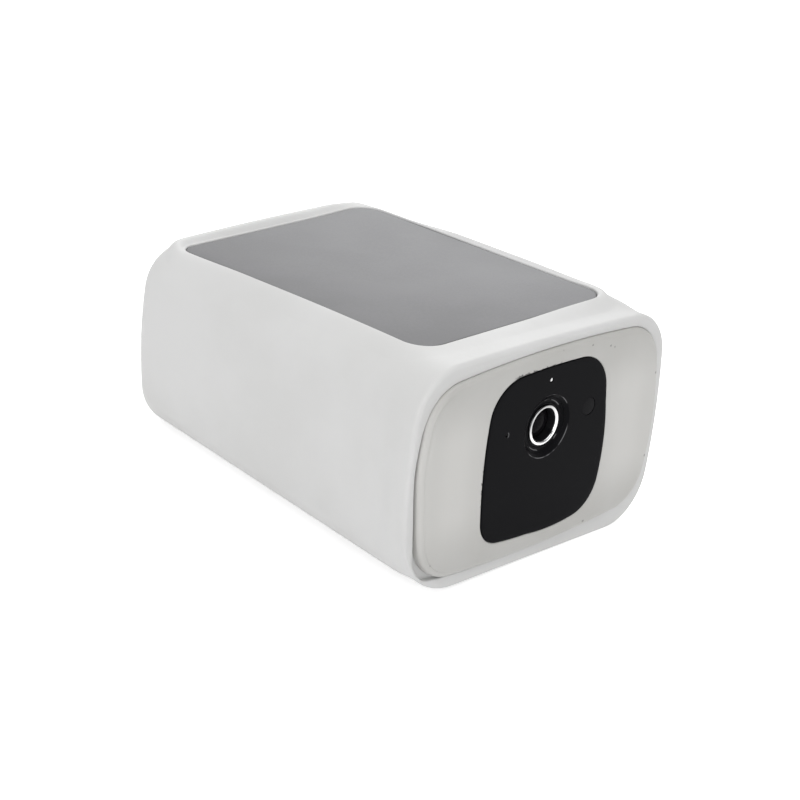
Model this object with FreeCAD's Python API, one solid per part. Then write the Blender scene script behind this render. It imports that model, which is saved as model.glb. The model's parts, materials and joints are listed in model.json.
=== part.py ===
import FreeCAD, Part
import math
import os

# A moulded silicone case stretched over a battery camera with a solar panel on its top. The camera is modelled
# square to its lens panel: X is to the right of someone facing the lens, Y is the depth behind the lens panel's
# face, and Z is the height above the middle of the lens panel. At the end everything is stood on the case's
# sloping underside. All sizes are in millimetres.

V = FreeCAD.Vector

# Silicone case, outside
case_length = 111.0
case_front_width = 92.4
case_back_width = 87.6
case_top = 30.3
underside_front = -32.2
underside_slope = 6.0
top_corner_front = 12.4
top_corner_back = 12.4
bottom_corner_front = 14.5
slack_corner_front = 18.0
bottom_corner_back = 11.6
side_bulge = 0.8
top_bulge = 0.5
back_rounding = 6.4
case_wall = 2.0
sole_trim = 0.3

# Front of the case: a flared rim, slightly rolled, whose flare dies away as the top climbs to its full height
rim_front = 1.5
rim_end = 5.0
shoulder_end = 13.0
rim_flare = 1.7
rim_rise = 0.4
rim_roll = 1.4
nose_drop = 1.2
nose_step = 2.0
rim_rounding = 1.3

# Clearances
case_gap = 0.15
plate_gap = 0.3
slip = 0.1
play = 0.3

# How far a cutting shape runs past what it cuts, how deep a joined shape is rooted, and how close an edge is matched
overrun = 1.0
root = 0.5
match = 0.01

# Front of the camera
lens_panel_width = 46.0
lens_panel_corner = 8.2
lens_panel_bulge = 0.9
lens_panel_wall = 2.0
panel_proud = 0.2
panel_flange = 1.6
panel_flange_thick = 1.2
diffuser_width = 90.2
diffuser_height = 54.6
diffuser_middle = -0.65
diffuser_corner = 12.5
diffuser_bulge = 1.3
diffuser_wall = 1.8
diffuser_depth = 4.8
diffuser_edge = 1.5
gasket_thick = 0.6
gasket_width = 1.6
gape_side = 0.8
gape_drop = 1.3
gape_depth = 2.9

# Lens
lens_height = 6.1
recess_mouth_r = 8.5
recess_floor_r = 6.65
recess_depth = 1.4
barrel_head_r = 5.95
barrel_r = 5.5
barrel_face = 1.4
barrel_head_length = 5.0
barrel_length = 15.8
barrel_bore_r = 3.2
trim_outer_r = 5.55
trim_inner_r = 4.45
trim_height = 0.6
front_glass_r = 4.0
front_glass_edge = 1.8
front_glass_dome = 0.9
front_glass_set_back = 1.9
rear_glass_thick = 2.0
rear_glass_depth = 14.0

# Small parts of the lens panel
light_height = 18.75
light_r = 0.6
light_head_r = 1.6
light_head_thick = 1.0
sensor_x = 16.0
sensor_height = 7.7
sensor_window_r = 2.4
sensor_window_thick = 1.5
microphone_x = -15.2
microphone_height = 7.5
microphone_hole_r = 0.5
microphone_r = 2.0
microphone_thick = 2.0

# Housing shell
shell_wall = 2.2
shell_flange = 2.0
mouth_margin = 3.2
boss_r = 3.2
boss_x = 36.0
boss_spread = 18.0
boss_length = 16.0
boss_rib = 1.6
boss_floor = 1.0

# Chassis plate behind the diffuser and the boards on it
frame_front = 7.0
frame_thick = 2.4
light_board_width = 12.0
light_board_height = 30.0
light_board_x = 34.2
light_board_thick = 1.2
led_size = 3.0
led_height = 0.7
led_pitch = 6.0
led_rows = 5
led_columns = 2
motion_height = -14.0
motion_r = 4.6
motion_length = 4.2
motion_flange_r = 5.2
motion_flange = 0.8
wire_slot_length = 14.0
wire_slot_width = 4.0

# Screws, all pan heads
frame_screw_r = 1.2
frame_screw_head_r = 2.5
frame_screw_head = 1.5
frame_screw_length = 10.0
board_screw_r = 0.9
board_screw_head_r = 1.8
board_screw_head = 1.2
board_screw_length = 4.5
head_rounding = 0.4

# Camera board
camera_board_size = 32.0
camera_board_thick = 1.2
camera_post_spread = 13.0
post_r = 2.3
image_sensor_width = 8.0
image_sensor_height = 6.5
image_sensor_thick = 1.0
holder_base = 17.0
holder_base_thick = 2.4
holder_wall = 2.0
holder_tube_r = 7.3
holder_front = 11.0
camera_board_front = 21.0

# Solar panel
solar_width = 68.4
solar_front = 12.6
solar_back_margin = 7.6
solar_corner = 6.6
solar_thick = 3.0
solar_top = 30.4
solar_chamfer = 0.25
adhesive_thick = 0.3
adhesive_margin = 3.0
lip_width = 1.5
lip_top = 30.95
lip_rounding = 0.55
lip_root = 1.2

# Batteries in their cradle
cell_r = 9.2
cell_cap_r = 2.9
cell_cap = 1.0
cell_rounding = 1.0
cell_count = 4
cell_pitch = 18.8
cell_height = 13.5
tray_floor_height = 1.0
tray_ridge_height = 8.5
tray_half_width = 38.2
tray_wall = 2.0
tray_end_inset = 1.0
tray_wall_top = 20.0
tray_clear_front = 6.2
tray_clear_back = 3.4
ledge_thick = 2.5
ledge_reach = 3.4

# Main board, under the cradle
main_board_inset_front = 5.6
main_board_inset_back = 10.0
main_board_width = 56.0
main_board_thick = 1.6
main_board_drop = 6.5
main_post_inset = 4.0
shield_size = 24.0
shield_height = 2.6
shield_rounding = 1.0
antenna_width = 32.0
antenna_height = 9.0
antenna_thick = 0.8
antenna_lift = 5.0

# Speaker on the floor of the shell
speaker_along = 52.0
speaker_r = 14.0
speaker_height = 6.5
speaker_magnet_r = 7.5
speaker_basket = 2.6
speaker_slots = 5
speaker_slot_length = 16.0
speaker_slot_width = 1.4
speaker_slot_pitch = 3.4
speaker_window_length = 30.0
speaker_window_width = 20.0

# Back of the camera
rear_row = 3.0
rear_window_length = 62.0
rear_window_height = 22.0
insert_r = 6.0
insert_length = 8.0
insert_hole_r = 2.6
insert_floor = 1.0
insert_flange_r = 6.8
insert_flange = 1.2
insert_boss_r = 8.5
insert_boss_cap = 1.4
port_x = 21.0
socket_width = 8.9
socket_height = 3.2
socket_length = 4.3
socket_corner = 1.5
socket_shell = 0.3
socket_floor = 1.0
tongue_width = 6.6
tongue_thick = 0.7
tongue_set_back = 0.5
port_margin = 0.8
cover_width = 16.4
cover_height = 9.2
cover_thick = 1.4
cover_gap = 0.1
cover_nose = 1.4
cover_nose_inset = 0.45
cover_grip = 0.4
cover_corner = 3.0
grip_inset = 1.6
grip_thick = 1.0
grip_length = 5.2
button_x = -21.0
button_r = 3.6
button_proud = 0.6
button_flange_r = 4.8
button_flange = 0.5
button_stem_r = 1.6
button_travel = 0.8
button_bore_gap = 0.2
button_rounding = 0.5
button_rest_gap = 0.15
switch_size = 6.0
switch_height = 1.4
switch_plunger_r = 1.4
switch_plunger = 0.6
rear_board_half_width = 28.0
rear_board_bottom = -7.0
rear_board_top = 13.0
rear_board_thick = 1.2
rear_post_length = 4.05
rear_post_x = 13.5
rear_post_height = 6.0


def mix(first, last, share):
    """The value at a share of the way from first to last."""
    return first + (last - first) * share


def ease(share):
    """A smooth step from 0 to 1."""
    held = min(1.0, max(0.0, share))
    return held * held * (3.0 - 2.0 * held)


def arc(centre_x, centre_z, radius, start, end, depth):
    """An arc in the plane at this depth, from one angle to another, in radians."""
    points = []
    for angle in (start, (start + end) / 2.0, end):
        x = centre_x + radius * math.cos(angle)
        z = centre_z + radius * math.sin(angle)
        points.append(V(x, depth, z))
    return Part.Arc(*points).toShape()


def crown(across, corner, bulge):
    """Radius of a long arc that stands out by bulge and runs tangent into a corner arc centred across from it."""
    run = bulge + corner
    return (run * run + across * across - corner * corner) / (2.0 * bulge)


def section(depth, half_width, low, high, top_corner, left_corner, right_corner, bulge, upper_bulge, lower_bulge):
    """A soft-cornered closed outline across the body: crowned sides and top, and a flat or crowned bottom."""
    middle = (low + high) / 2.0
    half = (high - low) / 2.0
    upper_x = half_width - bulge - top_corner
    upper_z = half - upper_bulge - top_corner
    left_x = half_width - bulge - left_corner
    left_z = half - lower_bulge - left_corner
    right_x = half_width - bulge - right_corner
    right_z = half - lower_bulge - right_corner
    upper_side = crown(upper_z, top_corner, bulge)
    left_side = crown(left_z, left_corner, bulge)
    right_side = crown(right_z, right_corner, bulge)
    upper_turn = math.atan2(upper_z, upper_x - half_width + upper_side)
    left_turn = math.atan2(left_z, left_x - half_width + left_side)
    right_turn = math.atan2(right_z, right_x - half_width + right_side)
    top_radius = crown(upper_x, top_corner, upper_bulge)
    top_turn = math.atan2(upper_x, upper_z - half + top_radius)
    edges = []
    right = math.pi / 2.0
    edges.append(arc(half_width - upper_side, middle, upper_side, 0.0, upper_turn, depth))
    edges.append(arc(upper_x, middle + upper_z, top_corner, upper_turn, right - top_turn, depth))
    edges.append(arc(0.0, high - top_radius, top_radius, right - top_turn, right + top_turn, depth))
    edges.append(arc(-upper_x, middle + upper_z, top_corner, right + top_turn, math.pi - upper_turn, depth))
    edges.append(arc(upper_side - half_width, middle, upper_side, math.pi - upper_turn, math.pi, depth))
    edges.append(arc(left_side - half_width, middle, left_side, math.pi, math.pi + left_turn, depth))
    if lower_bulge > 0.0:
        low_radius = crown(right_x, right_corner, lower_bulge)
        low_turn = math.atan2(right_x, right_z - half + low_radius)
    else:
        low_turn = 0.0
    down = 1.5 * math.pi
    edges.append(arc(-left_x, middle - left_z, left_corner, math.pi + left_turn, down - low_turn, depth))
    if lower_bulge > 0.0:
        edges.append(arc(0.0, low + low_radius, low_radius, down - low_turn, down + low_turn, depth))
    else:
        edges.append(Part.LineSegment(V(-left_x, depth, low), V(right_x, depth, low)).toShape())
    edges.append(arc(right_x, middle - right_z, right_corner, down + low_turn, 2.0 * math.pi - right_turn, depth))
    edges.append(arc(half_width - right_side, middle, right_side, -right_turn, 0.0, depth))
    return Part.Wire(edges)


def underside(depth):
    """Height of the case's underside at this depth."""
    return underside_front + depth * math.tan(math.radians(underside_slope))


def body_section(depth, inset, flare=0.0, rise=0.0, roll=0.0, trim=0.0):
    """The body's outline at this depth, inset from the outside of the case and rolled about the depth axis."""
    share = depth / case_length
    half_width = mix(case_front_width, case_back_width, share) / 2.0 + flare - inset
    climb = ease((depth - rim_end) / (shoulder_end - rim_end))
    high = case_top - nose_drop * (1.0 - climb) + rise - inset
    low = underside(depth) - trim + inset
    top_corner = mix(top_corner_front, top_corner_back, share) + flare - inset
    left_corner = mix(slack_corner_front, bottom_corner_back, share) + flare - inset
    right_corner = mix(bottom_corner_front, bottom_corner_back, share) + flare - inset
    wire = section(depth, half_width, low, high, top_corner, left_corner, right_corner, side_bulge, top_bulge, 0.0)
    wire.rotate(V(0.0, depth, 0.0), V(0.0, 1.0, 0.0), roll)
    return wire


def flared(depth, size):
    """How much of a size that belongs to the rim is left at this depth."""
    return size * (1.0 - ease((depth - rim_end) / (shoulder_end - rim_end)))


def body_loft(start, end, inset, rounding, flare=0.0, rise=0.0, roll=0.0, trim=0.0):
    """A smooth nose and a straight taper behind it, inset from the outside of the case, rounded at the back edge."""
    steps = max(2, round((shoulder_end - start) / nose_step))
    nose = []
    for number in range(steps + 1):
        depth = mix(start, shoulder_end, number / steps)
        nose.append(body_section(depth, inset, flared(depth, flare), flared(depth, rise), flared(depth, roll), trim))
    taper = [body_section(depth, inset, 0.0, 0.0, 0.0, trim) for depth in (shoulder_end, end)]
    body = Part.makeLoft(nose, True, False).fuse(Part.makeLoft(taper, True, True))
    return round_end(body, end, rounding)


def edges_at(shape, depth):
    """The edges that lie in the plane at this depth."""
    found = []
    for edge in shape.Edges:
        box = edge.BoundBox
        if abs(box.YMin - depth) < match and abs(box.YMax - depth) < match:
            found.append(edge)
    return found


def round_end(shape, depth, radius):
    """The shape with the edges at this depth rounded."""
    return shape.makeFillet(radius, edges_at(shape, depth))


def lens_panel_section(depth, growth):
    """Outline of the black lens panel, grown all round."""
    half = lens_panel_width / 2.0 + growth
    corner = lens_panel_corner + growth
    return section(depth, half, -half, half, corner, corner, corner, lens_panel_bulge, lens_panel_bulge,
                   lens_panel_bulge)


def diffuser_section(depth, growth, shift_x=0.0, shift_z=0.0):
    """Outline of the frosted front plate, grown all round."""
    half_height = diffuser_height / 2.0 + growth
    corner = diffuser_corner + growth
    wire = section(depth, diffuser_width / 2.0 + growth, diffuser_middle - half_height,
                   diffuser_middle + half_height, corner, corner, corner, diffuser_bulge, diffuser_bulge,
                   diffuser_bulge)
    wire.translate(V(shift_x, 0.0, shift_z))
    return wire


def prism(wire, depth):
    """The outline carried backwards by this depth."""
    return Part.Face(wire).extrude(V(0.0, depth, 0.0))


def rod(x, z, radius, start, end):
    """A round bar along the depth."""
    return Part.makeCylinder(radius, end - start, V(x, start, z), V(0.0, 1.0, 0.0))


def block(x_low, x_high, start, end, z_low, z_high):
    """A plain block between these limits."""
    return Part.makeBox(x_high - x_low, end - start, z_high - z_low, V(x_low, start, z_low))


def stadium(x, z, half_length, radius, start, end):
    """A bar along the depth with a section of a round-ended slot, long along X."""
    straight = half_length - radius
    bar = block(x - straight, x + straight, start, end, z - radius, z + radius)
    ends = [rod(x + side * straight, z, radius, start, end) for side in (-1, 1)]
    return bar.fuse(ends).removeSplitter()


def rounded_slab(half_width, start, end, corner, low, high):
    """A flat slab with round corners, seen from above."""
    slab = block(-half_width, half_width, start, end, low, high)
    upright = []
    for edge in slab.Edges:
        if abs(edge.BoundBox.ZLength - (high - low)) < match:
            upright.append(edge)
    return slab.makeFillet(corner, upright)


def on_floor(shape):
    """A shape drawn on a level floor, laid on the plane of the case's underside."""
    laid = shape.copy()
    laid.rotate(V(0.0, 0.0, 0.0), V(1.0, 0.0, 0.0), underside_slope)
    laid.translate(V(0.0, 0.0, underside_front))
    return laid


def turned(points, x, z):
    """A turned piece about an axis along the depth: points are pairs of radius and depth."""
    corners = [V(x + radius, depth, z) for radius, depth in points]
    outline = Part.makePolygon(corners + [corners[0]])
    return Part.Face(outline).revolve(V(x, 0.0, z), V(0.0, 1.0, 0.0), 360.0)


diffuser_back = panel_proud + diffuser_wall
skirt_end = panel_proud + diffuser_depth
shell_front = skirt_end + gasket_thick
shell_inset = case_wall + case_gap
inner_inset = shell_inset + shell_wall
shell_back = case_length - shell_inset
inner_back = case_length - inner_inset
frame_back = frame_front + frame_thick
boss_places = [(side * boss_x, diffuser_middle + level * boss_spread) for side in (-1, 1) for level in (-1, 1)]
camera_posts = [(side * camera_post_spread, lens_height + level * camera_post_spread)
                for side in (-1, 1) for level in (-1, 1)]
rear_posts = [(side * rear_post_x, rear_row + rear_post_height) for side in (-1, 1)]
port_half_length = socket_width / 2.0 + port_margin
port_half_height = socket_height / 2.0 + port_margin
solar_back = case_length - solar_back_margin
rear_board_depth = inner_back - rear_post_length - rear_board_thick
tray_front = camera_board_front + camera_board_thick + tray_clear_front
tray_back = rear_board_depth - tray_clear_back
tray_cells_front = tray_front + tray_wall + play
tray_cells_back = tray_back - tray_wall - play
main_board_front = tray_front + main_board_inset_front
main_board_back = tray_back - main_board_inset_back
main_board_top = tray_floor_height - main_board_drop
main_board_bottom = main_board_top - main_board_thick


def silicone_case():
    """The moulded sleeve: flared rim, neck, tapering body with a rounded back, windows and a lip round the top one."""
    case = body_loft(rim_front, case_length, 0.0, back_rounding, rim_flare, rim_rise, rim_roll, sole_trim)
    case = round_end(case, rim_front, rim_rounding)
    reach = 2.0 * case_length
    ground = Part.makeBox(reach, 2.0 * reach, reach, V(-reach / 2.0, -reach, -reach))
    case = case.cut(on_floor(ground))
    opening_half = solar_width / 2.0 + play
    lip = rounded_slab(opening_half + lip_width, solar_front - play - lip_width, solar_back + play + lip_width,
                       solar_corner + play + lip_width, case_top - case_wall + lip_root - top_bulge, lip_top)
    lip = lip.makeFillet(lip_rounding, [edge for edge in lip.Edges if edge.BoundBox.ZMin > lip_top - match])
    case = case.fuse(lip)
    cavity = body_loft(shell_front - case_gap, case_length - case_wall, case_wall, back_rounding - case_wall)
    case = case.cut(cavity)
    case = case.cut(prism(diffuser_section(rim_front - overrun, plate_gap), shell_front + shell_flange))
    gape = diffuser_section(rim_front - overrun, plate_gap, -gape_side, -gape_drop)
    case = case.cut(prism(gape, gape_depth + overrun))
    case = case.cut(rounded_slab(opening_half, solar_front - play, solar_back + play, solar_corner + play,
                                 case_top - 2.0 * case_wall - top_bulge, lip_top + overrun))
    case = case.cut(stadium(0.0, rear_row, rear_window_length / 2.0, rear_window_height / 2.0,
                            shell_back - overrun, case_length + overrun))
    window = stadium(0.0, 0.0, speaker_window_length / 2.0, speaker_window_width / 2.0, -overrun,
                     case_wall + overrun)
    window.rotate(V(0.0, 0.0, 0.0), V(1.0, 0.0, 0.0), 90.0)
    window.translate(V(0.0, speaker_along, 0.0))
    return case.cut(on_floor(window))


def housing_shell():
    """The camera's hollow body: front flange, screw bosses, ledges for the cradle, and the holes in its back."""
    rounding = back_rounding - shell_inset
    shell = body_loft(shell_front, shell_back, shell_inset, rounding)
    shell = shell.fuse(prism(diffuser_section(shell_front, 0.0), shell_flange))
    inside = body_loft(shell_front + shell_flange, inner_back, inner_inset, rounding - shell_wall / 2.0)
    shell = shell.cut(inside)
    shell = shell.cut(prism(diffuser_section(shell_front - overrun, -mouth_margin), shell_flange + 2.0 * overrun))
    outer = body_loft(shell_front, shell_back, shell_inset, rounding)
    shell = shell.fuse(shell_bosses().common(outer))
    shell = shell.fuse(cradle_ledges().common(outer))
    boss = rod(0.0, rear_row, insert_boss_r, shell_back - insert_length - insert_boss_cap, inner_back + root)
    posts = [rod(x, z, post_r, rear_board_depth + rear_board_thick, inner_back + root) for x, z in rear_posts]
    shell = shell.fuse([boss] + posts)
    shell = shell.cut(rod(0.0, rear_row, insert_r, shell_back - insert_length, shell_back + overrun))
    shell = shell.cut(rod(0.0, rear_row, insert_flange_r, shell_back - insert_flange, shell_back + overrun))
    shell = shell.cut(stadium(port_x, rear_row, port_half_length, port_half_height, inner_back - overrun,
                              shell_back + overrun))
    shell = shell.cut(rod(button_x, rear_row, button_r + button_bore_gap, inner_back - overrun, shell_back + overrun))
    for x, z in boss_places:
        shell = shell.cut(rod(x, z, frame_screw_r + slip, frame_back - overrun,
                              frame_back + boss_length - boss_floor))
    for x, z in rear_posts:
        shell = shell.cut(rod(x, z, board_screw_r + slip, rear_board_depth, rear_board_depth + board_screw_length))
    recess = rounded_slab(solar_width / 2.0 + slip, solar_front - slip, solar_back + slip, solar_corner + slip,
                          solar_top - solar_thick - adhesive_thick, case_top)
    shell = shell.cut(recess)
    return shell.cut(speaker_openings())


def shell_bosses():
    """Four posts for the chassis screws, each joined to the side wall by a rib."""
    posts = []
    for x, z in boss_places:
        posts.append(rod(x, z, boss_r, frame_back, frame_back + boss_length))
        wall = math.copysign(case_front_width / 2.0 - shell_inset - shell_wall / 2.0, x)
        posts.append(block(min(x, wall), max(x, wall), frame_back, frame_back + boss_length,
                           z - boss_rib / 2.0, z + boss_rib / 2.0))
    return posts[0].fuse(posts[1:])


def cradle_ledges():
    """A ledge along each side wall that carries the battery cradle."""
    wall = case_front_width / 2.0
    ledges = []
    for side in (-1, 1):
        inner = side * (tray_half_width - ledge_reach)
        outer = side * wall
        ledges.append(block(min(inner, outer), max(inner, outer), frame_back + boss_length + play, tray_back,
                            tray_floor_height - ledge_thick, tray_floor_height))
    return ledges[0].fuse(ledges[1])


def speaker_openings():
    """Slots through the floor of the shell under the speaker."""
    slots = []
    half = speaker_slot_length / 2.0
    for number in range(speaker_slots):
        offset = (number - (speaker_slots - 1) / 2.0) * speaker_slot_pitch
        slot = stadium(0.0, 0.0, half, speaker_slot_width / 2.0, case_wall - overrun, inner_inset + overrun)
        slot.rotate(V(0.0, 0.0, 0.0), V(1.0, 0.0, 0.0), 90.0)
        slot.translate(V(0.0, speaker_along + offset, 0.0))
        slots.append(on_floor(slot))
    return slots[0].fuse(slots[1:])


def front_diffuser():
    """Frosted plate with a rounded edge, a skirt turned back all round and an opening for the lens panel."""
    plate = prism(diffuser_section(panel_proud, 0.0), diffuser_depth)
    plate = round_end(plate, panel_proud, diffuser_edge)
    plate = plate.cut(prism(diffuser_section(diffuser_back, -diffuser_wall), diffuser_depth))
    return plate.cut(prism(lens_panel_section(0.0, slip), diffuser_depth))


def front_gasket():
    """Foam seal between the skirt of the diffuser and the front of the shell."""
    ring = prism(diffuser_section(skirt_end, -slip), gasket_thick)
    return ring.cut(prism(diffuser_section(skirt_end - overrun, -slip - gasket_width), gasket_thick + 2.0 * overrun))


def lens_panel():
    """Black panel with a flange behind, a conical recess round the lens, and seats for the small parts."""
    panel = prism(lens_panel_section(0.0, 0.0), lens_panel_wall)
    panel = round_end(panel, 0.0, panel_proud)
    panel = panel.fuse(prism(lens_panel_section(diffuser_back, panel_flange), panel_flange_thick))
    recess = Part.makeCone(recess_mouth_r, recess_floor_r, recess_depth, V(0.0, 0.0, lens_height), V(0.0, 1.0, 0.0))
    panel = panel.cut(recess)
    through = diffuser_back + panel_flange_thick + overrun
    panel = panel.cut(rod(0.0, lens_height, barrel_head_r + slip, -overrun, through))
    panel = panel.cut(rod(0.0, light_height, light_r + slip / 2.0, -overrun, through))
    panel = panel.cut(rod(microphone_x, microphone_height, microphone_hole_r, -overrun, through))
    return panel.cut(rod(sensor_x, sensor_height, sensor_window_r + slip / 2.0, -overrun, sensor_window_thick + slip))


def lens_trim_ring():
    """Bright ring with a round nose, seated on the face of the barrel."""
    middle = (trim_outer_r + trim_inner_r) / 2.0
    start = V(trim_inner_r, barrel_face, lens_height)
    end = V(trim_outer_r, barrel_face, lens_height)
    nose = Part.Arc(start, V(middle, barrel_face - trim_height, lens_height), end).toShape()
    base = Part.LineSegment(end, start).toShape()
    return Part.Face(Part.Wire([nose, base])).revolve(V(0.0, 0.0, lens_height), V(0.0, 1.0, 0.0), 360.0)


def lens_barrel():
    """Turned barrel with a head, a stepped mouth that holds the front glass, and a bore."""
    end = barrel_face + barrel_length
    head_end = barrel_face + barrel_head_length
    seat = barrel_face + front_glass_set_back + front_glass_edge
    mouth = trim_inner_r - slip
    points = [(barrel_head_r, barrel_face), (barrel_head_r, head_end), (barrel_r, head_end), (barrel_r, end),
              (barrel_bore_r, end), (barrel_bore_r, seat), (front_glass_r + slip / 2.0, seat),
              (front_glass_r + slip / 2.0, barrel_face + front_glass_set_back), (mouth, barrel_face)]
    return turned(points, 0.0, lens_height)


def lens_front_glass():
    """Domed front element."""
    edge = barrel_face + front_glass_set_back
    back = edge + front_glass_edge
    rise = front_glass_r * math.sin(math.pi / 4.0)
    sphere = (front_glass_r ** 2 + front_glass_dome ** 2) / (2.0 * front_glass_dome)
    half_way = edge - (front_glass_dome - sphere + math.sqrt(sphere ** 2 - rise ** 2))
    apex = V(0.0, edge - front_glass_dome, lens_height)
    rim = V(front_glass_r, edge, lens_height)
    dome = Part.Arc(apex, V(rise, half_way, lens_height), rim).toShape()
    sides = Part.makePolygon([rim, V(front_glass_r, back, lens_height), V(0.0, back, lens_height), apex])
    return Part.Face(Part.Wire([dome] + sides.Edges)).revolve(V(0.0, 0.0, lens_height), V(0.0, 1.0, 0.0), 360.0)


def lens_rear_glass():
    """Flat element at the back of the bore."""
    return rod(0.0, lens_height, barrel_bore_r - slip / 2.0, rear_glass_depth, rear_glass_depth + rear_glass_thick)


def status_light_pipe():
    """Stepped light pipe: a thin pin through the lens panel with a head behind it."""
    back = diffuser_back + panel_flange_thick
    pin = rod(0.0, light_height, light_r, slip, back)
    return pin.fuse(rod(0.0, light_height, light_head_r, back, back + light_head_thick)).removeSplitter()


def light_sensor_window():
    """Small dark lens over the light sensor."""
    return rod(sensor_x, sensor_height, sensor_window_r, slip, sensor_window_thick + slip)


def microphone():
    """Microphone capsule glued behind its hole in the lens panel."""
    back = diffuser_back + panel_flange_thick
    return rod(microphone_x, microphone_height, microphone_r, back, back + microphone_thick)


def front_frame():
    """Chassis plate in the mouth of the shell, with posts for the camera board behind it."""
    frame = prism(diffuser_section(frame_front, -mouth_margin - play), frame_thick)
    posts = [rod(x, z, post_r, frame_back, camera_board_front) for x, z in camera_posts]
    frame = frame.fuse(posts)
    frame = frame.cut(rod(0.0, lens_height, holder_tube_r + play, frame_front - overrun, frame_back + overrun))
    frame = frame.cut(rod(0.0, motion_height, motion_r + slip, frame_front - overrun, frame_back + overrun))
    for x, z in boss_places:
        frame = frame.cut(rod(x, z, frame_screw_r + play, frame_front - overrun, frame_back + overrun))
    for x, z in camera_posts:
        frame = frame.cut(rod(x, z, board_screw_r + slip, camera_board_front - board_screw_length,
                              camera_board_front + overrun))
    for side in (-1, 1):
        slot = stadium(0.0, 0.0, wire_slot_length / 2.0, wire_slot_width / 2.0, frame_front - overrun,
                       frame_back + overrun)
        slot.rotate(V(0.0, 0.0, 0.0), V(0.0, 1.0, 0.0), 90.0)
        slot.translate(V(side * (light_board_x - light_board_width / 2.0 - wire_slot_width), 0.0, diffuser_middle))
        frame = frame.cut(slot)
    return frame


def spotlight_board(side):
    """Narrow board for the white lights, on the chassis at one side of the lens panel."""
    x = side * light_board_x
    half = light_board_height / 2.0
    return block(x - light_board_width / 2.0, x + light_board_width / 2.0, frame_front - light_board_thick,
                 frame_front, diffuser_middle - half, diffuser_middle + half)


def spotlight_leds():
    """White lights in rows on both boards."""
    board = frame_front - light_board_thick
    lights = []
    for side in (-1, 1):
        for row in range(led_rows):
            for column in range(led_columns):
                x = side * light_board_x + (column - (led_columns - 1) / 2.0) * led_pitch
                z = diffuser_middle + (row - (led_rows - 1) / 2.0) * led_pitch
                lights.append(block(x - led_size / 2.0, x + led_size / 2.0, board - led_height, board,
                                    z - led_size / 2.0, z + led_size / 2.0))
    return Part.makeCompound(lights)


def motion_sensor():
    """Heat sensor can with a flange, let into the chassis behind the lower part of the lens panel."""
    can = rod(0.0, motion_height, motion_r, frame_front - motion_flange, frame_front - motion_flange + motion_length)
    flange = rod(0.0, motion_height, motion_flange_r, frame_front - motion_flange, frame_front)
    return can.fuse(flange).removeSplitter()


def pan_screw(x, z, seat, radius, head_r, head, length, way=1.0):
    """Pan-head screw along the depth: way is 1 when it is driven backwards and -1 when driven forwards."""
    axis = V(0.0, way, 0.0)
    shank = Part.makeCylinder(radius, length, V(x, seat, z), axis)
    cap = Part.makeCylinder(head_r, head, V(x, seat - way * head, z), axis)
    cap = cap.makeFillet(head * head_rounding, edges_at(cap, seat - way * head))
    return shank.fuse(cap).removeSplitter()


def frame_screws():
    """Four screws that hold the chassis to the shell's bosses."""
    return Part.makeCompound([pan_screw(x, z, frame_front, frame_screw_r, frame_screw_head_r, frame_screw_head,
                                        frame_screw_length) for x, z in boss_places])


def camera_board_screws():
    """Four screws that hold the camera board to the posts of the chassis."""
    seat = camera_board_front + camera_board_thick
    return Part.makeCompound([pan_screw(x, z, seat, board_screw_r, board_screw_head_r, board_screw_head,
                                        board_screw_length, -1.0) for x, z in camera_posts])


def camera_board():
    """Square board that carries the image sensor and the lens holder."""
    half = camera_board_size / 2.0
    board = block(-half, half, camera_board_front, camera_board_front + camera_board_thick,
                  lens_height - half, lens_height + half)
    for x, z in camera_posts:
        board = board.cut(rod(x, z, board_screw_r + slip, camera_board_front - overrun,
                              camera_board_front + camera_board_thick + overrun))
    return board


def image_sensor():
    """Image sensor chip on the front of the camera board."""
    return block(-image_sensor_width / 2.0, image_sensor_width / 2.0, camera_board_front - image_sensor_thick,
                 camera_board_front, lens_height - image_sensor_height / 2.0, lens_height + image_sensor_height / 2.0)


def lens_holder():
    """Holder on the camera board: a square foot over the sensor and a tube that the barrel screws into."""
    half = holder_base / 2.0
    foot = block(-half, half, camera_board_front - holder_base_thick, camera_board_front,
                 lens_height - half, lens_height + half)
    holder = foot.fuse(rod(0.0, lens_height, holder_tube_r, holder_front, camera_board_front - root))
    holder = holder.cut(rod(0.0, lens_height, barrel_r + slip / 2.0, holder_front - overrun,
                            camera_board_front - holder_base_thick))
    pocket = half - holder_wall
    return holder.cut(block(-pocket, pocket, camera_board_front - holder_base_thick, camera_board_front + overrun,
                            lens_height - pocket, lens_height + pocket))


def solar_panel():
    """Matte laminate with soft corners."""
    panel = rounded_slab(solar_width / 2.0, solar_front, solar_back, solar_corner, solar_top - solar_thick, solar_top)
    return panel.makeChamfer(solar_chamfer, [edge for edge in panel.Edges if edge.BoundBox.ZMin > solar_top - match])


def solar_adhesive():
    """Frame of tape that holds the panel in its recess."""
    low = solar_top - solar_thick - adhesive_thick
    high = solar_top - solar_thick
    inset = adhesive_margin
    tape = rounded_slab(solar_width / 2.0, solar_front, solar_back, solar_corner, low, high)
    return tape.cut(rounded_slab(solar_width / 2.0 - inset, solar_front + inset, solar_back - inset,
                                 solar_corner - inset, low - overrun, high + overrun))


def cell_places():
    """Where the cells lie across the cradle."""
    return [(number - (cell_count - 1) / 2.0) * cell_pitch for number in range(cell_count)]


def battery_cells():
    """Cylindrical cells side by side, each with a small cap at its front end."""
    cells = []
    for x in cell_places():
        cell = rod(x, cell_height, cell_r, tray_cells_front + cell_cap, tray_cells_back)
        cell = cell.makeFillet(cell_rounding, [edge for edge in cell.Edges if edge.BoundBox.YLength < match])
        cells.append(cell.fuse(rod(x, cell_height, cell_cap_r, tray_cells_front, tray_cells_front + cell_cap)))
    return Part.makeCompound([cell.Solids[0] for cell in cells])


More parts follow.
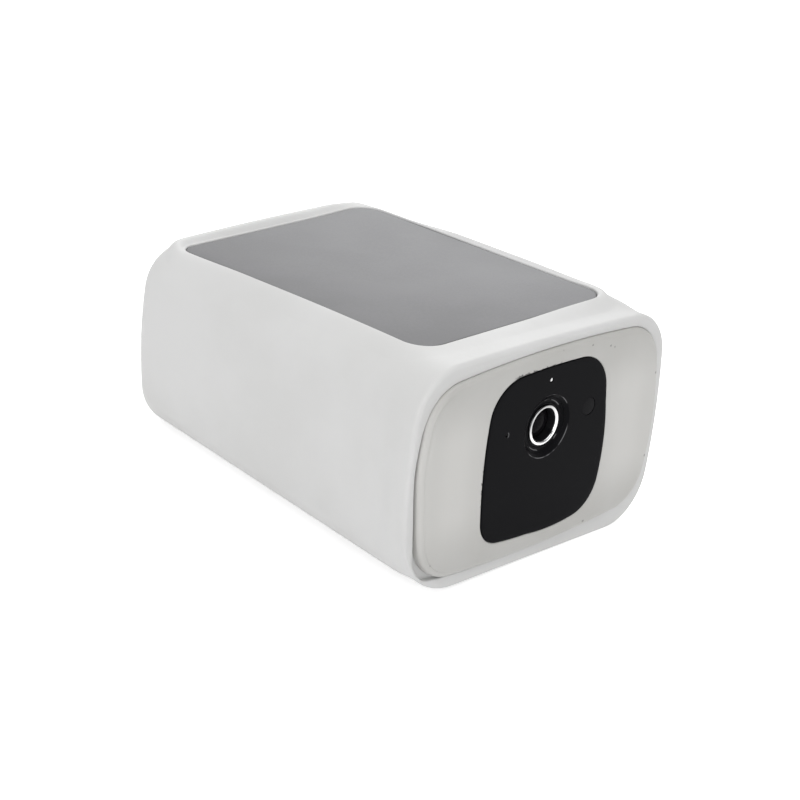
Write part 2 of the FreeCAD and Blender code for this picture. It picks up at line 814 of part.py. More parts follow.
def battery_tray():
    """Cradle with a groove for each cell, a wall at each end and posts for the main board below."""
    tray = block(-tray_half_width, tray_half_width, tray_front, tray_back, tray_floor_height, tray_ridge_height)
    walls = []
    for start in (tray_front, tray_back - tray_wall):
        half = tray_half_width - tray_end_inset
        walls.append(block(-half, half, start, start + tray_wall, tray_floor_height, tray_wall_top))
    tray = tray.fuse(walls)
    for x in cell_places():
        tray = tray.cut(rod(x, cell_height, cell_r + slip, tray_cells_front - play, tray_cells_back + play))
    posts = []
    for x, y in main_board_posts():
        posts.append(Part.makeCylinder(post_r, main_board_drop, V(x, y, main_board_top)))
    tray = tray.fuse(posts)
    for x, y in main_board_posts():
        hole = Part.makeCylinder(board_screw_r + slip, board_screw_length, V(x, y, main_board_top - overrun))
        tray = tray.cut(hole)
    return tray


def main_board_posts():
    """Where the main board's four posts stand."""
    places = []
    for x in (-main_board_width / 2.0 + main_post_inset, main_board_width / 2.0 - main_post_inset):
        for y in (main_board_front + main_post_inset, main_board_back - main_post_inset):
            places.append((x, y))
    return places


def main_board():
    """Main circuit board, screwed under the cradle."""
    half = main_board_width / 2.0
    board = block(-half, half, main_board_front, main_board_back, main_board_bottom, main_board_top)
    for x, y in main_board_posts():
        board = board.cut(Part.makeCylinder(board_screw_r + slip, main_board_thick + 2.0 * overrun,
                                            V(x, y, main_board_bottom - overrun)))
    return board


def main_board_screws():
    """Four screws driven up through the main board."""
    screws = []
    for x, y in main_board_posts():
        shank = Part.makeCylinder(board_screw_r, board_screw_length, V(x, y, main_board_bottom))
        head = Part.makeCylinder(board_screw_head_r, board_screw_head, V(x, y, main_board_bottom - board_screw_head))
        screws.append(shank.fuse(head).removeSplitter())
    return Part.makeCompound([screw.Solids[0] for screw in screws])


def processor_shield():
    """Folded metal can over the processor, under the main board."""
    middle = (main_board_front + main_board_back) / 2.0
    half = shield_size / 2.0
    can = block(-half, half, middle - half, middle + half, main_board_bottom - shield_height, main_board_bottom)
    lower = [edge for edge in can.Edges if edge.BoundBox.ZMax < main_board_bottom - match]
    return can.makeFillet(shield_rounding, lower)


def wifi_antenna():
    """Thin antenna board on the front wall of the cradle."""
    low = tray_floor_height + antenna_lift
    return block(-antenna_width / 2.0, antenna_width / 2.0, tray_front - antenna_thick, tray_front,
                 low, low + antenna_height)


def speaker():
    """Round speaker facing down on the floor of the shell."""
    floor = inner_inset * math.cos(math.radians(underside_slope))
    basket = Part.makeCylinder(speaker_r, speaker_basket, V(0.0, speaker_along, floor))
    magnet = Part.makeCylinder(speaker_magnet_r, speaker_height, V(0.0, speaker_along, floor))
    return on_floor(basket.fuse(magnet).removeSplitter())


def mount_insert():
    """Brass insert with a blind threaded hole, let into the back of the shell."""
    insert = rod(0.0, rear_row, insert_r, shell_back - insert_length, shell_back)
    insert = insert.fuse(rod(0.0, rear_row, insert_flange_r, shell_back - insert_flange, shell_back)).removeSplitter()
    floor = shell_back - insert_length + insert_floor
    return insert.cut(rod(0.0, rear_row, insert_hole_r, floor, shell_back + overrun))


def rear_board():
    """Small upright board inside the back that carries the charging socket and the switch."""
    board = block(-rear_board_half_width, rear_board_half_width, rear_board_depth,
                  rear_board_depth + rear_board_thick, rear_row + rear_board_bottom, rear_row + rear_board_top)
    board = board.cut(rod(0.0, rear_row, insert_boss_r + play, rear_board_depth - overrun,
                          rear_board_depth + rear_board_thick + overrun))
    for x, z in rear_posts:
        board = board.cut(rod(x, z, board_screw_r + slip, rear_board_depth - overrun,
                              rear_board_depth + rear_board_thick + overrun))
    return board


def rear_board_screws():
    """Two screws that hold the rear board to its posts."""
    return Part.makeCompound([pan_screw(x, z, rear_board_depth, board_screw_r, board_screw_head_r,
                                        board_screw_head, board_screw_length) for x, z in rear_posts])


def charging_socket():
    """Metal shell of the charging socket with its tongue."""
    start = rear_board_depth + rear_board_thick
    shell = stadium(port_x, rear_row, socket_width / 2.0, socket_corner, start, start + socket_length)
    hollow = stadium(port_x, rear_row, socket_width / 2.0 - socket_shell, socket_corner - socket_shell,
                     start + socket_floor, start + socket_length + overrun)
    tongue = block(port_x - tongue_width / 2.0, port_x + tongue_width / 2.0, start + socket_floor / 2.0,
                   start + socket_length - tongue_set_back, rear_row - tongue_thick / 2.0,
                   rear_row + tongue_thick / 2.0)
    return shell.cut(hollow).fuse(tongue)


def port_cover():
    """Soft flap over the socket: a rounded hinge end, a nose that plugs the opening and a finger ridge."""
    front = shell_back + cover_gap
    half_height = cover_height / 2.0
    hinge = port_x - cover_width / 2.0
    right_end = port_x + cover_width / 2.0
    flap = block(hinge, right_end, front, front + cover_thick, rear_row - half_height, rear_row + half_height)
    corners = []
    for edge in flap.Edges:
        box = edge.BoundBox
        if box.XMin > right_end - match and box.YLength > cover_thick - match:
            corners.append(edge)
    flap = flap.makeFillet(cover_corner, corners)
    knuckle = Part.makeCylinder(cover_thick / 2.0, cover_height, V(hinge, front + cover_thick / 2.0,
                                                                   rear_row - half_height))
    nose = stadium(port_x, rear_row, port_half_length - cover_nose_inset, port_half_height - cover_nose_inset,
                   front - cover_nose, front + cover_thick / 2.0)
    ridge = block(right_end - grip_inset - grip_thick, right_end - grip_inset, front + cover_thick / 2.0,
                  front + cover_thick + cover_grip, rear_row - grip_length / 2.0, rear_row + grip_length / 2.0)
    return flap.fuse([knuckle, nose, ridge]).removeSplitter()


def sync_button():
    """Round button with a flange behind the wall and a stem that presses the switch."""
    cap = rod(button_x, rear_row, button_r, inner_back - play, shell_back + button_proud)
    cap = cap.makeFillet(button_rounding, edges_at(cap, shell_back + button_proud))
    flange_back = inner_back - play
    flange = rod(button_x, rear_row, button_flange_r, flange_back - button_flange, flange_back)
    stem_end = rear_board_depth + rear_board_thick + switch_height + switch_plunger + button_travel + button_rest_gap
    stem = rod(button_x, rear_row, button_stem_r, stem_end, flange_back)
    return cap.fuse([flange, stem]).removeSplitter()


def button_switch():
    """Tactile switch on the rear board."""
    start = rear_board_depth + rear_board_thick
    half = switch_size / 2.0
    body = block(button_x - half, button_x + half, start, start + switch_height, rear_row - half, rear_row + half)
    return body.fuse(rod(button_x, rear_row, switch_plunger_r, start, start + switch_height + switch_plunger))


def pieces():
    """Every piece by name, in the camera's own square frame."""
    made = {
        "silicone_case": silicone_case(),
        "housing_shell": housing_shell(),
        "front_diffuser": front_diffuser(),
        "front_gasket": front_gasket(),
        "lens_panel": lens_panel(),
        "lens_trim_ring": lens_trim_ring(),
        "lens_barrel": lens_barrel(),
        "lens_front_glass": lens_front_glass(),
        "lens_rear_glass": lens_rear_glass(),
        "status_light_pipe": status_light_pipe(),
        "light_sensor_window": light_sensor_window(),
        "microphone": microphone(),
        "front_frame": front_frame(),
        "frame_screws": frame_screws(),
        "spotlight_board_left": spotlight_board(-1),
        "spotlight_board_right": spotlight_board(1),
        "spotlight_leds": spotlight_leds(),
        "motion_sensor": motion_sensor(),
        "camera_board": camera_board(),
        "camera_board_screws": camera_board_screws(),
        "image_sensor": image_sensor(),
        "lens_holder": lens_holder(),
        "solar_panel": solar_panel(),
        "solar_adhesive": solar_adhesive(),
        "battery_cells": battery_cells(),
        "battery_tray": battery_tray(),
        "main_board": main_board(),
        "main_board_screws": main_board_screws(),
        "processor_shield": processor_shield(),
        "wifi_antenna": wifi_antenna(),
        "speaker": speaker(),
        "mount_insert": mount_insert(),
        "rear_board": rear_board(),
        "rear_board_screws": rear_board_screws(),
        "charging_socket": charging_socket(),
        "port_cover": port_cover(),
        "sync_button": sync_button(),
        "button_switch": button_switch(),
    }
    return made


def stand(shape, centre_y):
    """The shape turned so that the case's underside is level, with the origin under the middle of the whole."""
    stood = shape.copy()
    stood.translate(V(0.0, 0.0, -underside_front))
    stood.rotate(V(0.0, 0.0, 0.0), V(1.0, 0.0, 0.0), -underside_slope)
    stood.translate(V(0.0, -centre_y, 0.0))
    return stood


def middle_of(made):
    """Middle of the whole along Y once it is stood on its underside."""
    front = min(stand(made[name], 0.0).optimalBoundingBox(False).YMin for name in ("lens_panel", "silicone_case"))
    back = stand(made["silicone_case"], 0.0).optimalBoundingBox(False).YMax
    return (front + back) / 2.0


def main():
    os.makedirs("parts", exist_ok=True)
    made = pieces()
    centre_y = middle_of(made)
    for name, shape in made.items():
        stand(shape, centre_y).exportStep("parts/" + name + ".step")


main()
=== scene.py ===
import json
import math
from functools import reduce

import bmesh
import bpy
import numpy as np
from mathutils import Matrix, Vector


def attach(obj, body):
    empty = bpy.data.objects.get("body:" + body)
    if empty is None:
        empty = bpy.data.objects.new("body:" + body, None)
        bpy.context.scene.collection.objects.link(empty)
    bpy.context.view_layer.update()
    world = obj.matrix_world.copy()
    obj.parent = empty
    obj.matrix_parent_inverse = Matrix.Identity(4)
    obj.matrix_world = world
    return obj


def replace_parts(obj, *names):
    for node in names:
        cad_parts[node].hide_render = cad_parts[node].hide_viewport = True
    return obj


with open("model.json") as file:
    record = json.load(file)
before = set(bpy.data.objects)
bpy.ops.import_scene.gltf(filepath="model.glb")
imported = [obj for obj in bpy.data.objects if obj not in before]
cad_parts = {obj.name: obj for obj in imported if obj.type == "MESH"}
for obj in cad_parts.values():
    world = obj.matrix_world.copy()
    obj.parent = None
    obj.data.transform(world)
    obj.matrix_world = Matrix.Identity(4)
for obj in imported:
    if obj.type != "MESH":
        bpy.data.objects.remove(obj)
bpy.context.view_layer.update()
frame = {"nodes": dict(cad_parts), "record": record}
record = frame["record"]


# Camera. It looks at the front left corner from a little above, at the photograph's angle. Its place and its
# directions are written in the camera body's own square frame, whose origin is the middle of the lens panel.

case_length = 111.0
underside_front = -32.2
underside_slope = math.radians(6.0)
thread = next(mount for mount in record["mounts"] if mount["name"] == "mount_thread")
thread_depth = 105.35
thread_height = 3.0
stood_depth = (thread_depth * math.cos(underside_slope)
               + (thread_height - underside_front) * math.sin(underside_slope))
middle_depth = stood_depth - thread["pos_m"][1] * 1000.0


def turn(vector):
    """A direction of the square frame, tilted back by the slope of the underside."""
    x, y, z = vector
    return Vector((x, y * math.cos(underside_slope) + z * math.sin(underside_slope),
                   z * math.cos(underside_slope) - y * math.sin(underside_slope)))


def stand(x, depth, height):
    """Points of the square frame in millimetres, stood on the underside: a drop, a tilt and a shift, in metres."""
    x, depth, height = np.broadcast_arrays(x, depth, height)
    lifted = height - underside_front
    y = depth * math.cos(underside_slope) + lifted * math.sin(underside_slope) - middle_depth
    z = lifted * math.cos(underside_slope) - depth * math.sin(underside_slope)
    return np.stack([x, y, z], axis=-1) / 1000.0


def in_scene(name, data):
    """A new object in the scene."""
    made = bpy.data.objects.new(name, data)
    bpy.context.scene.collection.objects.link(made)
    return made


eye = stand(-390.7, -314.9, 219.2)
right = turn((0.7045, -0.7057, 0.0756)).normalized()
ahead = turn((0.6734, 0.6307, -0.3856)).normalized()
up = right.cross(ahead).normalized()
camera_data = bpy.data.cameras.new("camera")
camera_data.lens = 97.6
camera_data.sensor_width = 36.0
camera_data.clip_start = 0.02
camera_data.clip_end = 20.0
camera = in_scene("camera", camera_data)
camera.matrix_world = Matrix.Translation(Vector(eye)) @ Matrix((right, up, -ahead)).transposed().to_4x4()
bpy.context.scene.camera = camera


# Room. A pale floor, a white backdrop all round under a dark ceiling, and soft studio lamps: a large one overhead, a
# broad one on the left, a weaker one in front and a narrow one behind.

bpy.context.scene.view_settings.view_transform = "Standard"


def shader_input(material, name):
    """An input of a material's shader."""
    return material.node_tree.nodes["Principled BSDF"].inputs[name]


def base_material(name, colour, roughness, specular=0.5, metallic=0.0):
    """A new material with a colour and its levels of roughness, reflection and metal."""
    made = bpy.data.materials.new(name)
    made.use_nodes = True
    shader_input(made, "Base Color").default_value = (*colour, 1.0)
    shader_input(made, "Roughness").default_value = roughness
    shader_input(made, "Specular IOR Level").default_value = specular
    shader_input(made, "Metallic").default_value = metallic
    return made


class Value:
    """What a material's nodes work out: a number, a place or a colour. Sums on numbers make further nodes."""

    def __init__(self, material, socket):
        self.material, self.socket = material, socket

    def calc(self, operation, first, second=0.0):
        return new_node(self.material, "ShaderNodeMath", {"operation": operation}, {0: first, 1: second}, 0)

    def __add__(self, other):
        return self.calc("ADD", self, other)

    def __sub__(self, other):
        return self.calc("SUBTRACT", self, other)

    def __rsub__(self, other):
        return self.calc("SUBTRACT", other, self)

    def __mul__(self, other):
        return self.calc("MULTIPLY", self, other)

    def __abs__(self):
        return self.calc("ABSOLUTE", self)

    def least(self, other):
        return self.calc("MINIMUM", self, other)

    def most(self, other):
        return self.calc("MAXIMUM", self, other)


def wired(material, value, socket):
    """Put a number, a colour or what another node works out on a socket."""
    if isinstance(value, Value):
        material.node_tree.links.new(value.socket, socket)
    elif isinstance(value, tuple) and socket.type == "RGBA":
        socket.default_value = (*value, 1.0)
    else:
        socket.default_value = value


def new_node(material, kind, settings, inputs, output):
    """What a new node works out, given its settings and its inputs."""
    made = material.node_tree.nodes.new(kind)
    for name, setting in settings.items():
        setattr(made, name, setting)
    for socket, value in inputs.items():
        wired(material, value, made.inputs[socket])
    return Value(material, made.outputs[output])


def seen_by_view(owner):
    """A factor that is 1 for rays from the camera and for the rays that reflections and clear glass send on."""
    seen = new_node(owner, "ShaderNodeLightPath", {}, {}, "Is Camera Ray")
    kinds = seen.socket.node.outputs
    return seen.most(Value(owner, kinds["Is Glossy Ray"])).most(Value(owner, kinds["Is Transmission Ray"]))


world = bpy.data.worlds.new("room")
bpy.context.scene.world = world
world.use_nodes = True
room = world.node_tree.nodes["Background"]
room.inputs["Color"].default_value = (1.0, 1.0, 1.0, 1.0)
room.inputs["Strength"].default_value = 0.43
way = new_node(world, "ShaderNodeTexCoord", {}, {}, "Generated")
height = new_node(world, "ShaderNodeSeparateXYZ", {}, {0: way}, "Z")
ceiling = new_node(world, "ShaderNodeMapRange", {"interpolation_type": "SMOOTHSTEP"},
                   {"Value": height, "From Min": 0.25, "From Max": 0.75, "To Min": 1.0, "To Max": 0.12}, "Result")
backdrop = new_node(world, "ShaderNodeBackground", {}, {"Color": (1.0, 1.0, 1.0), "Strength": ceiling}, 0)
chosen = new_node(world, "ShaderNodeMixShader", {},
                  {0: seen_by_view(world), 1: Value(world, room.outputs[0]), 2: backdrop}, 0)
wired(world, chosen, world.node_tree.nodes["World Output"].inputs["Surface"])

floor_mesh = bpy.data.meshes.new("floor")
floor_half = 3.0
floor_mesh.from_pydata([(-floor_half, -floor_half, 0.0), (floor_half, -floor_half, 0.0),
                        (floor_half, floor_half, 0.0), (-floor_half, floor_half, 0.0)], [], [(0, 1, 2, 3)])
floor = in_scene("floor", floor_mesh)
floor_paint = base_material("floor_paint", (0.93, 0.93, 0.93), 0.9, 0.1)
paint = Value(floor_paint, floor_paint.node_tree.nodes["Principled BSDF"].outputs[0])
unlit = new_node(floor_paint, "ShaderNodeEmission", {}, {"Strength": 0.0}, 0)
glow = new_node(floor_paint, "ShaderNodeEmission", {}, {"Strength": 0.57}, 0)
chosen = new_node(floor_paint, "ShaderNodeMixShader", {}, {0: seen_by_view(floor_paint), 1: unlit, 2: glow}, 0)
both = new_node(floor_paint, "ShaderNodeAddShader", {}, {0: paint, 1: chosen}, 0)
wired(floor_paint, both, floor_paint.node_tree.nodes["Material Output"].inputs["Surface"])
floor_mesh.materials.append(floor_paint)


def lamp(name, place, width, height, power):
    """A rectangular area lamp at a place, turned to face the object."""
    data = bpy.data.lights.new(name, "AREA")
    data.shape = "RECTANGLE"
    data.size = width
    data.size_y = height
    data.energy = power
    shine = in_scene(name, data)
    shine.location = place
    shine.rotation_euler = (Vector((0.0, 0.0, 0.03)) - Vector(place)).to_track_quat("-Z", "Y").to_euler()


lamp("overhead", (-0.07, -0.04, 0.90), 0.9, 0.9, 4.07)
lamp("left", (-0.85, -0.25, 0.36), 0.7, 0.6, 2.25)
lamp("front", (0.05, -0.95, 0.30), 0.6, 0.5, 1.2)
lamp("behind", (0.65, 0.65, 0.60), 0.5, 0.4, 2.9)


# Silicone sleeve. One soft white moulding, stretched over the camera: a flared rim in front that hangs loose at its
# lower left, a rounded back, a window for the panel on top with a swollen lip round it, one in the back and one
# underneath for the speaker.

case_front_width = 92.4
case_back_width = 87.6
case_top = 30.3
sole_trim = 0.3
top_corner = 12.4
bottom_corner_front = 13.3
slack_corner_front = 18.0
bottom_corner_back = 11.6
side_bulge = 0.8
top_bulge = 0.5
flat = 0.001
back_rounding = 6.4
case_wall = 2.0
rim_front = 1.5
rim_end = 5.0
shoulder_end = 13.0
rim_flare = 1.66
rim_rise = 0.4
rim_lift = 0.7
rim_roll = math.radians(1.4)
nose_drop = 1.2
rim_rounding = 1.3
plate_gap = 0.015
slack_gap = 0.65
gape_side = 1.3
gape_drop = 0.9
gape_depth = 3.1
slack_x, slack_z = 0.8, 0.6
cavity_front = 5.45


def quadrant(half_width, half_height, corner, side, end, steps):
    """A quarter of a soft rectangle, from the middle of its side to the middle of its end: a long arc that stands out
    by side, a corner arc, and a long arc that stands out by end, each tangent to the next. Sizes are columns."""
    along, across = half_width - side - corner, half_height - end - corner
    side_radius = ((side + corner) ** 2 + across ** 2 - corner ** 2) / (2.0 * side)
    end_radius = ((end + corner) ** 2 + along ** 2 - corner ** 2) / (2.0 * end)
    side_turn = np.arctan2(across, along - half_width + side_radius)
    end_turn = np.arctan2(along, across - half_height + end_radius)
    parts = []
    for radius, x, z, first, last, count in (
            (side_radius, half_width - side_radius, 0.0 * across, 0.0 * side_turn, side_turn, steps[0]),
            (corner, along, across, side_turn, math.pi / 2.0 - end_turn, steps[1]),
            (end_radius, 0.0 * along, half_height - end_radius, math.pi / 2.0 - end_turn,
             math.pi / 2.0 + 0.0 * end_turn, steps[2])):
        share = np.arange(count) / count
        angle = first + (last - first) * share
        parts.append((x + radius * np.cos(angle), z + radius * np.sin(angle)))
    x = np.concatenate([part[0] for part in parts], axis=1)
    z = np.concatenate([part[1] for part in parts], axis=1)
    return x, z


def outline(half_width, low, high, top, left, right, side, upper, lower, steps):
    """A closed soft rectangle, anticlockwise from the middle of its right side as seen from the front, made of four
    quadrants. Each size is a column with one value a row, so whole stacks of outlines come out at once."""
    sizes = np.broadcast_arrays(*[np.atleast_1d(np.asarray(size, float))[:, None]
                                  for size in (half_width, low, high, top, left, right, side, upper, lower)])
    half_width, low, high, top, left, right, side, upper, lower = sizes
    middle, half = (low + high) / 2.0, (high - low) / 2.0
    x1, z1 = quadrant(half_width, half, top, side, upper, steps)
    x2, z2 = x1[:, ::-1], z1[:, ::-1]
    x3, z3 = quadrant(half_width, half, left, side, lower, steps)
    x4, z4 = (value[:, ::-1] for value in quadrant(half_width, half, right, side, lower, steps))
    top_middle = 0.0 * half
    x2 = np.concatenate([top_middle, x2[:, :-1]], axis=1)
    z2 = np.concatenate([half, z2[:, :-1]], axis=1)
    x4 = np.concatenate([top_middle, x4[:, :-1]], axis=1)
    z4 = np.concatenate([half, z4[:, :-1]], axis=1)
    x = np.concatenate([x1, -x2, -x3, x4], axis=1)
    z = middle + np.concatenate([z1, z2, -z3, -z4], axis=1)
    return x, z


def ease(share):
    """A smooth step from 0 to 1."""
    share = np.clip(share, 0.0, 1.0)
    return share * share * (3.0 - 2.0 * share)


def body_outline(depth, inset, rim, trim, steps):
    """The sleeve's outline at each depth, moved in by inset: width, corners and underside change evenly along it, and
    near the front it drops, and flares out and rolls as well where it has a rim, by amounts that die away along a
    smooth step."""
    share = depth / case_length
    near = 1.0 - ease((depth - rim_end) / (shoulder_end - rim_end))
    flared = near * rim
    flare = rim_flare * flared
    width = case_front_width + (case_back_width - case_front_width) * share
    high = case_top - nose_drop * near + rim_rise * flared - inset
    low = underside_front + depth * math.tan(underside_slope) - trim + inset + rim_lift * flared
    left = slack_corner_front + (bottom_corner_back - slack_corner_front) * share + flare - inset
    right = bottom_corner_front + (bottom_corner_back - bottom_corner_front) * share + flare - inset
    x, z = outline(width / 2.0 + flare - inset, low, high, top_corner + flare - inset, left, right,
                   side_bulge, top_bulge, flat, steps)
    roll = (rim_roll * flared)[:, None]
    return x * np.cos(roll) + z * np.sin(roll), z * np.cos(roll) - x * np.sin(roll)


diffuser_width = 90.2
diffuser_height = 54.6
diffuser_middle = -0.65
diffuser_corner = 12.5
diffuser_bulge = 1.3
drawn_in = 0.85
drawn_below = 8.0
drawn_left = -26.0
drawn_over = 16.0


def plate_outline(growth, steps):
    """The front plate's outline, grown all round by one amount a row, and drawn in a little at its lower left."""
    growth = np.asarray(growth, float)
    half = diffuser_height / 2.0 + growth
    corner = diffuser_corner + growth
    x, z = outline(diffuser_width / 2.0 + growth, diffuser_middle - half, diffuser_middle + half, corner, corner,
                   corner, diffuser_bulge, diffuser_bulge, diffuser_bulge, steps)
    return x + drawn_in * ease((drawn_below - z) / drawn_over) * ease((drawn_left - x) / drawn_over), z


def skin(name, points, tube=False):
    """A mesh over a grid of points: each row is a closed ring, and quads join each ring to the next. A tube also joins
    the last ring to the first, and otherwise one face closes each end. All faces are turned outward."""
    rows, columns = points.shape[:2]
    index = np.arange(rows * columns).reshape(rows, columns)
    after = np.roll(index, -1, axis=1)
    last = rows if tube else rows - 1
    below = np.roll(index, -1, axis=0)
    below_after = np.roll(after, -1, axis=0)
    quads = np.stack([index, after, below_after, below], axis=-1)[:last].reshape(-1, 4).tolist()
    if not tube:
        quads += [index[0, ::-1].tolist(), index[-1].tolist()]
    mesh = bpy.data.meshes.new(name)
    mesh.from_pydata(points.reshape(-1, 3).tolist(), [], quads)
    held = bmesh.new()
    held.from_mesh(mesh)
    if held.calc_volume(signed=True) < 0.0:
        mesh.flip_normals()
    held.free()
    return mesh


def piece(name, mesh, body, material, crease=34.0):
    """An object for a finished mesh, shaded smooth but for its sharp edges, that rides on a body."""
    mesh.polygons.foreach_set("use_smooth", [True] * len(mesh.polygons))
    mesh.set_sharp_from_angle(angle=math.radians(crease))
    mesh.materials.clear()
    mesh.materials.append(material)
    made = in_scene(name, mesh)
    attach(made, body)
    return made


def worked(mesh, tools):
    """A mesh after boolean cuts and joins, each a pair of the other mesh and what to do with it."""
    base = in_scene("work", mesh)
    others = []
    for other_mesh, operation in tools:
        others.append(in_scene("tool", other_mesh))
        step = base.modifiers.new("step", "BOOLEAN")
        step.solver = "EXACT"
        step.operation = operation
        step.object = others[-1]
    bpy.context.view_layer.update()
    result = bpy.data.meshes.new_from_object(base.evaluated_get(bpy.context.evaluated_depsgraph_get()))
    for item in [base] + others:
        bpy.data.objects.remove(item)
    seams = bmesh.new()
    seams.from_mesh(result)
    bmesh.ops.remove_doubles(seams, verts=seams.verts, dist=0.000003)
    bmesh.ops.dissolve_degenerate(seams, dist=0.000002, edges=seams.edges)
    seams.to_mesh(result)
    seams.free()
    return result


def slab_outline(half_length, start, end, corner, steps, back_left=None):
    """A flat rectangle with round corners seen from above, as x and depth. Its back left corner can be its own."""
    x, y = outline(half_length, -end, -start, corner, corner if back_left is None else back_left, corner, flat, flat,
                   flat, steps)
    return x, -y


case_steps = (12, 16, 26)


def moved(x, z, aim_x, aim_z, step):
    """Points moved by a step, or by most of the way where it is shorter, towards the points of another outline."""
    way_x, way_z = aim_x - x, aim_z - z
    length = np.hypot(way_x, way_z)
    step = np.minimum(step / length, 0.8 * step / np.max(step))
    return x + way_x * step, z + way_z * step


inner_lip = 0.4
lip_turn = np.linspace(math.pi / 2.0, 0.0, 5)
gape_growth = np.concatenate([[0.0, 0.0], inner_lip * (1.0 - np.sin(lip_turn))])
gape_depths = np.concatenate([[gape_depth - 0.02, gape_depth - 0.3], rim_front + inner_lip * (1.0 - np.cos(lip_turn))])
edge_x, edge_z = plate_outline([plate_gap], case_steps)
normal_x = np.roll(edge_z, -1, axis=1) - np.roll(edge_z, 1, axis=1)
normal_z = np.roll(edge_x, 1, axis=1) - np.roll(edge_x, -1, axis=1)
normal_x, normal_z = normal_x / np.hypot(normal_x, normal_z), normal_z / np.hypot(normal_x, normal_z)
facing = -(slack_x * normal_x + slack_z * normal_z)
slack = slack_gap * ease((facing - 0.55) / 0.3)
open_share = ease((facing - 0.84) / 0.14)
gape_x, gape_z = plate_outline(plate_gap + gape_growth, case_steps)
gape_x = gape_x + normal_x * slack - gape_side * open_share
gape_z = gape_z + normal_z * slack - gape_drop * open_share

quarter = np.linspace(0.0, math.pi / 2.0, 9)[:-1]
nose_depth = rim_front + rim_rounding * (1.0 - np.cos(quarter))
nose_x, nose_z = body_outline(nose_depth, 0.0, 1.0, sole_trim, case_steps)
nose_x, nose_z = moved(nose_x, nose_z, gape_x[-1:], gape_z[-1:], rim_rounding * (1.0 - np.sin(quarter))[:, None])
back_turn = np.linspace(0.0, math.pi / 2.0, 12)[1:]
shoulder_rows, body_rows = 19, 38
outer_depth = np.concatenate([np.linspace(rim_front + rim_rounding, shoulder_end, shoulder_rows),
                              np.linspace(shoulder_end, case_length - back_rounding, body_rows)[1:],
                              case_length - back_rounding * (1.0 - np.sin(back_turn))])
outer_inset = np.concatenate([np.zeros(shoulder_rows + body_rows - 1), back_rounding * (1.0 - np.cos(back_turn))])
outer_x, outer_z = body_outline(outer_depth, outer_inset, 1.0, sole_trim, case_steps)

rear_row = 3.0
rear_window_length = 62.0
rear_window_height = 22.0


def window_edge(x, z, growth):
    """The points of the back window's edge that lie on the lines from its centre through the given points: on its
    straight sides where such a line meets them, and on its round ends elsewhere."""
    radius = rear_window_height / 2.0 + growth
    straight = (rear_window_length - rear_window_height) / 2.0
    angle = np.arctan2(z - rear_row, x)
    along, across = np.abs(np.cos(angle)), np.abs(np.sin(angle))
    on_side = radius / np.maximum(across, 1e-9)
    on_end = straight * along + np.sqrt(np.maximum(radius ** 2 - (straight * across) ** 2, 0.0))
    reach = np.where(on_side * along <= straight, on_side, on_end)
    return reach * np.cos(angle), rear_row + reach * np.sin(angle)


back_x, back_z = outer_x[-1:], outer_z[-1:]
window_rounding = 0.5
face_share = np.linspace(0.0, 1.0, 9)[1:-1, None]
ring_x, ring_z = window_edge(back_x, back_z, window_rounding)
face_x = back_x + (ring_x - back_x) * face_share
face_z = back_z + (ring_z - back_z) * face_share
mouth = np.linspace(0.0, math.pi / 2.0, 5)
mouth_grow = window_rounding * (1.0 - np.sin(mouth))
mouth_x, mouth_z = window_edge(back_x, back_z, mouth_grow[:, None])
mouth_depth = case_length - window_rounding * (1.0 - np.cos(mouth))
inner_window_x, inner_window_z = window_edge(back_x, back_z, 0.0)

inner_rounding = back_rounding - case_wall
inner_turn = np.linspace(math.pi / 2.0, 0.0, 8)
inner_depth = np.concatenate([case_length - case_wall - inner_rounding * (1.0 - np.sin(inner_turn)),
                              np.linspace(case_length - back_rounding, shoulder_end, 30)[1:],
                              np.linspace(shoulder_end, cavity_front, 8)[1:]])
inner_inset = np.concatenate([case_wall + inner_rounding * (1.0 - np.cos(inner_turn)),
                              np.full(len(inner_depth) - len(inner_turn), case_wall)])
inner_x, inner_z = body_outline(inner_depth, inner_inset, 0.0, 0.0, case_steps)
wall_x, wall_z = plate_outline([plate_gap] * 3, case_steps)
clear_x, clear_z = plate_outline([plate_gap + 0.1], case_steps)
tight = np.hypot(clear_x, clear_z) > np.hypot(inner_x[-1:], inner_z[-1:])
inner_x[-1:] = np.where(tight, clear_x, inner_x[-1:])
inner_z[-1:] = np.where(tight, clear_z, inner_z[-1:])
wall_depth = np.array([cavity_front, gape_depth + 0.3, gape_depth])

sleeve_x = np.concatenate([nose_x, outer_x, face_x, mouth_x, inner_window_x, inner_x, wall_x, gape_x])
sleeve_z = np.concatenate([nose_z, outer_z, face_z, mouth_z, inner_window_z, inner_z, wall_z, gape_z])
sleeve_depth = np.concatenate([nose_depth, outer_depth, np.full(len(face_x), case_length), mouth_depth,
                               [case_length - case_wall], inner_depth, wall_depth, gape_depths])
sleeve_points = stand(sleeve_x, sleeve_depth[:, None], sleeve_z)
sleeve_points[..., 2] = np.maximum(sleeve_points[..., 2], 0.0)
sleeve = skin("silicone_sleeve", sleeve_points, tube=True)

solar_width = 68.4
solar_front = 12.6
solar_back = 103.4
solar_corner = 6.6
solar_sharper = 4.2
solar_top = 30.4
solar_fall = 0.0055
solar_sag = 0.62
sag_start, sag_length = 73.0, 27.0
sag_side, sag_width = 10.0, 36.0
play = 0.3
window_steps = (30, 10, 24)


def upright(half_length, start, end, corner, back_left, low, high):
    """A closed block with round upright corners, between two heights of the square frame."""
    x, y = slab_outline(half_length, start, end, corner, window_steps, back_left)
    rings = [stand(x[0], y[0], height) for height in (low, high)]
    return skin("block", np.array(rings))


def panel_sag(x, depth):
    """How much lower the solar panel lies towards its back left corner."""
    return solar_sag * ease((depth - sag_start) / sag_length) * (1.0 - ease((x - sag_side) / sag_width))


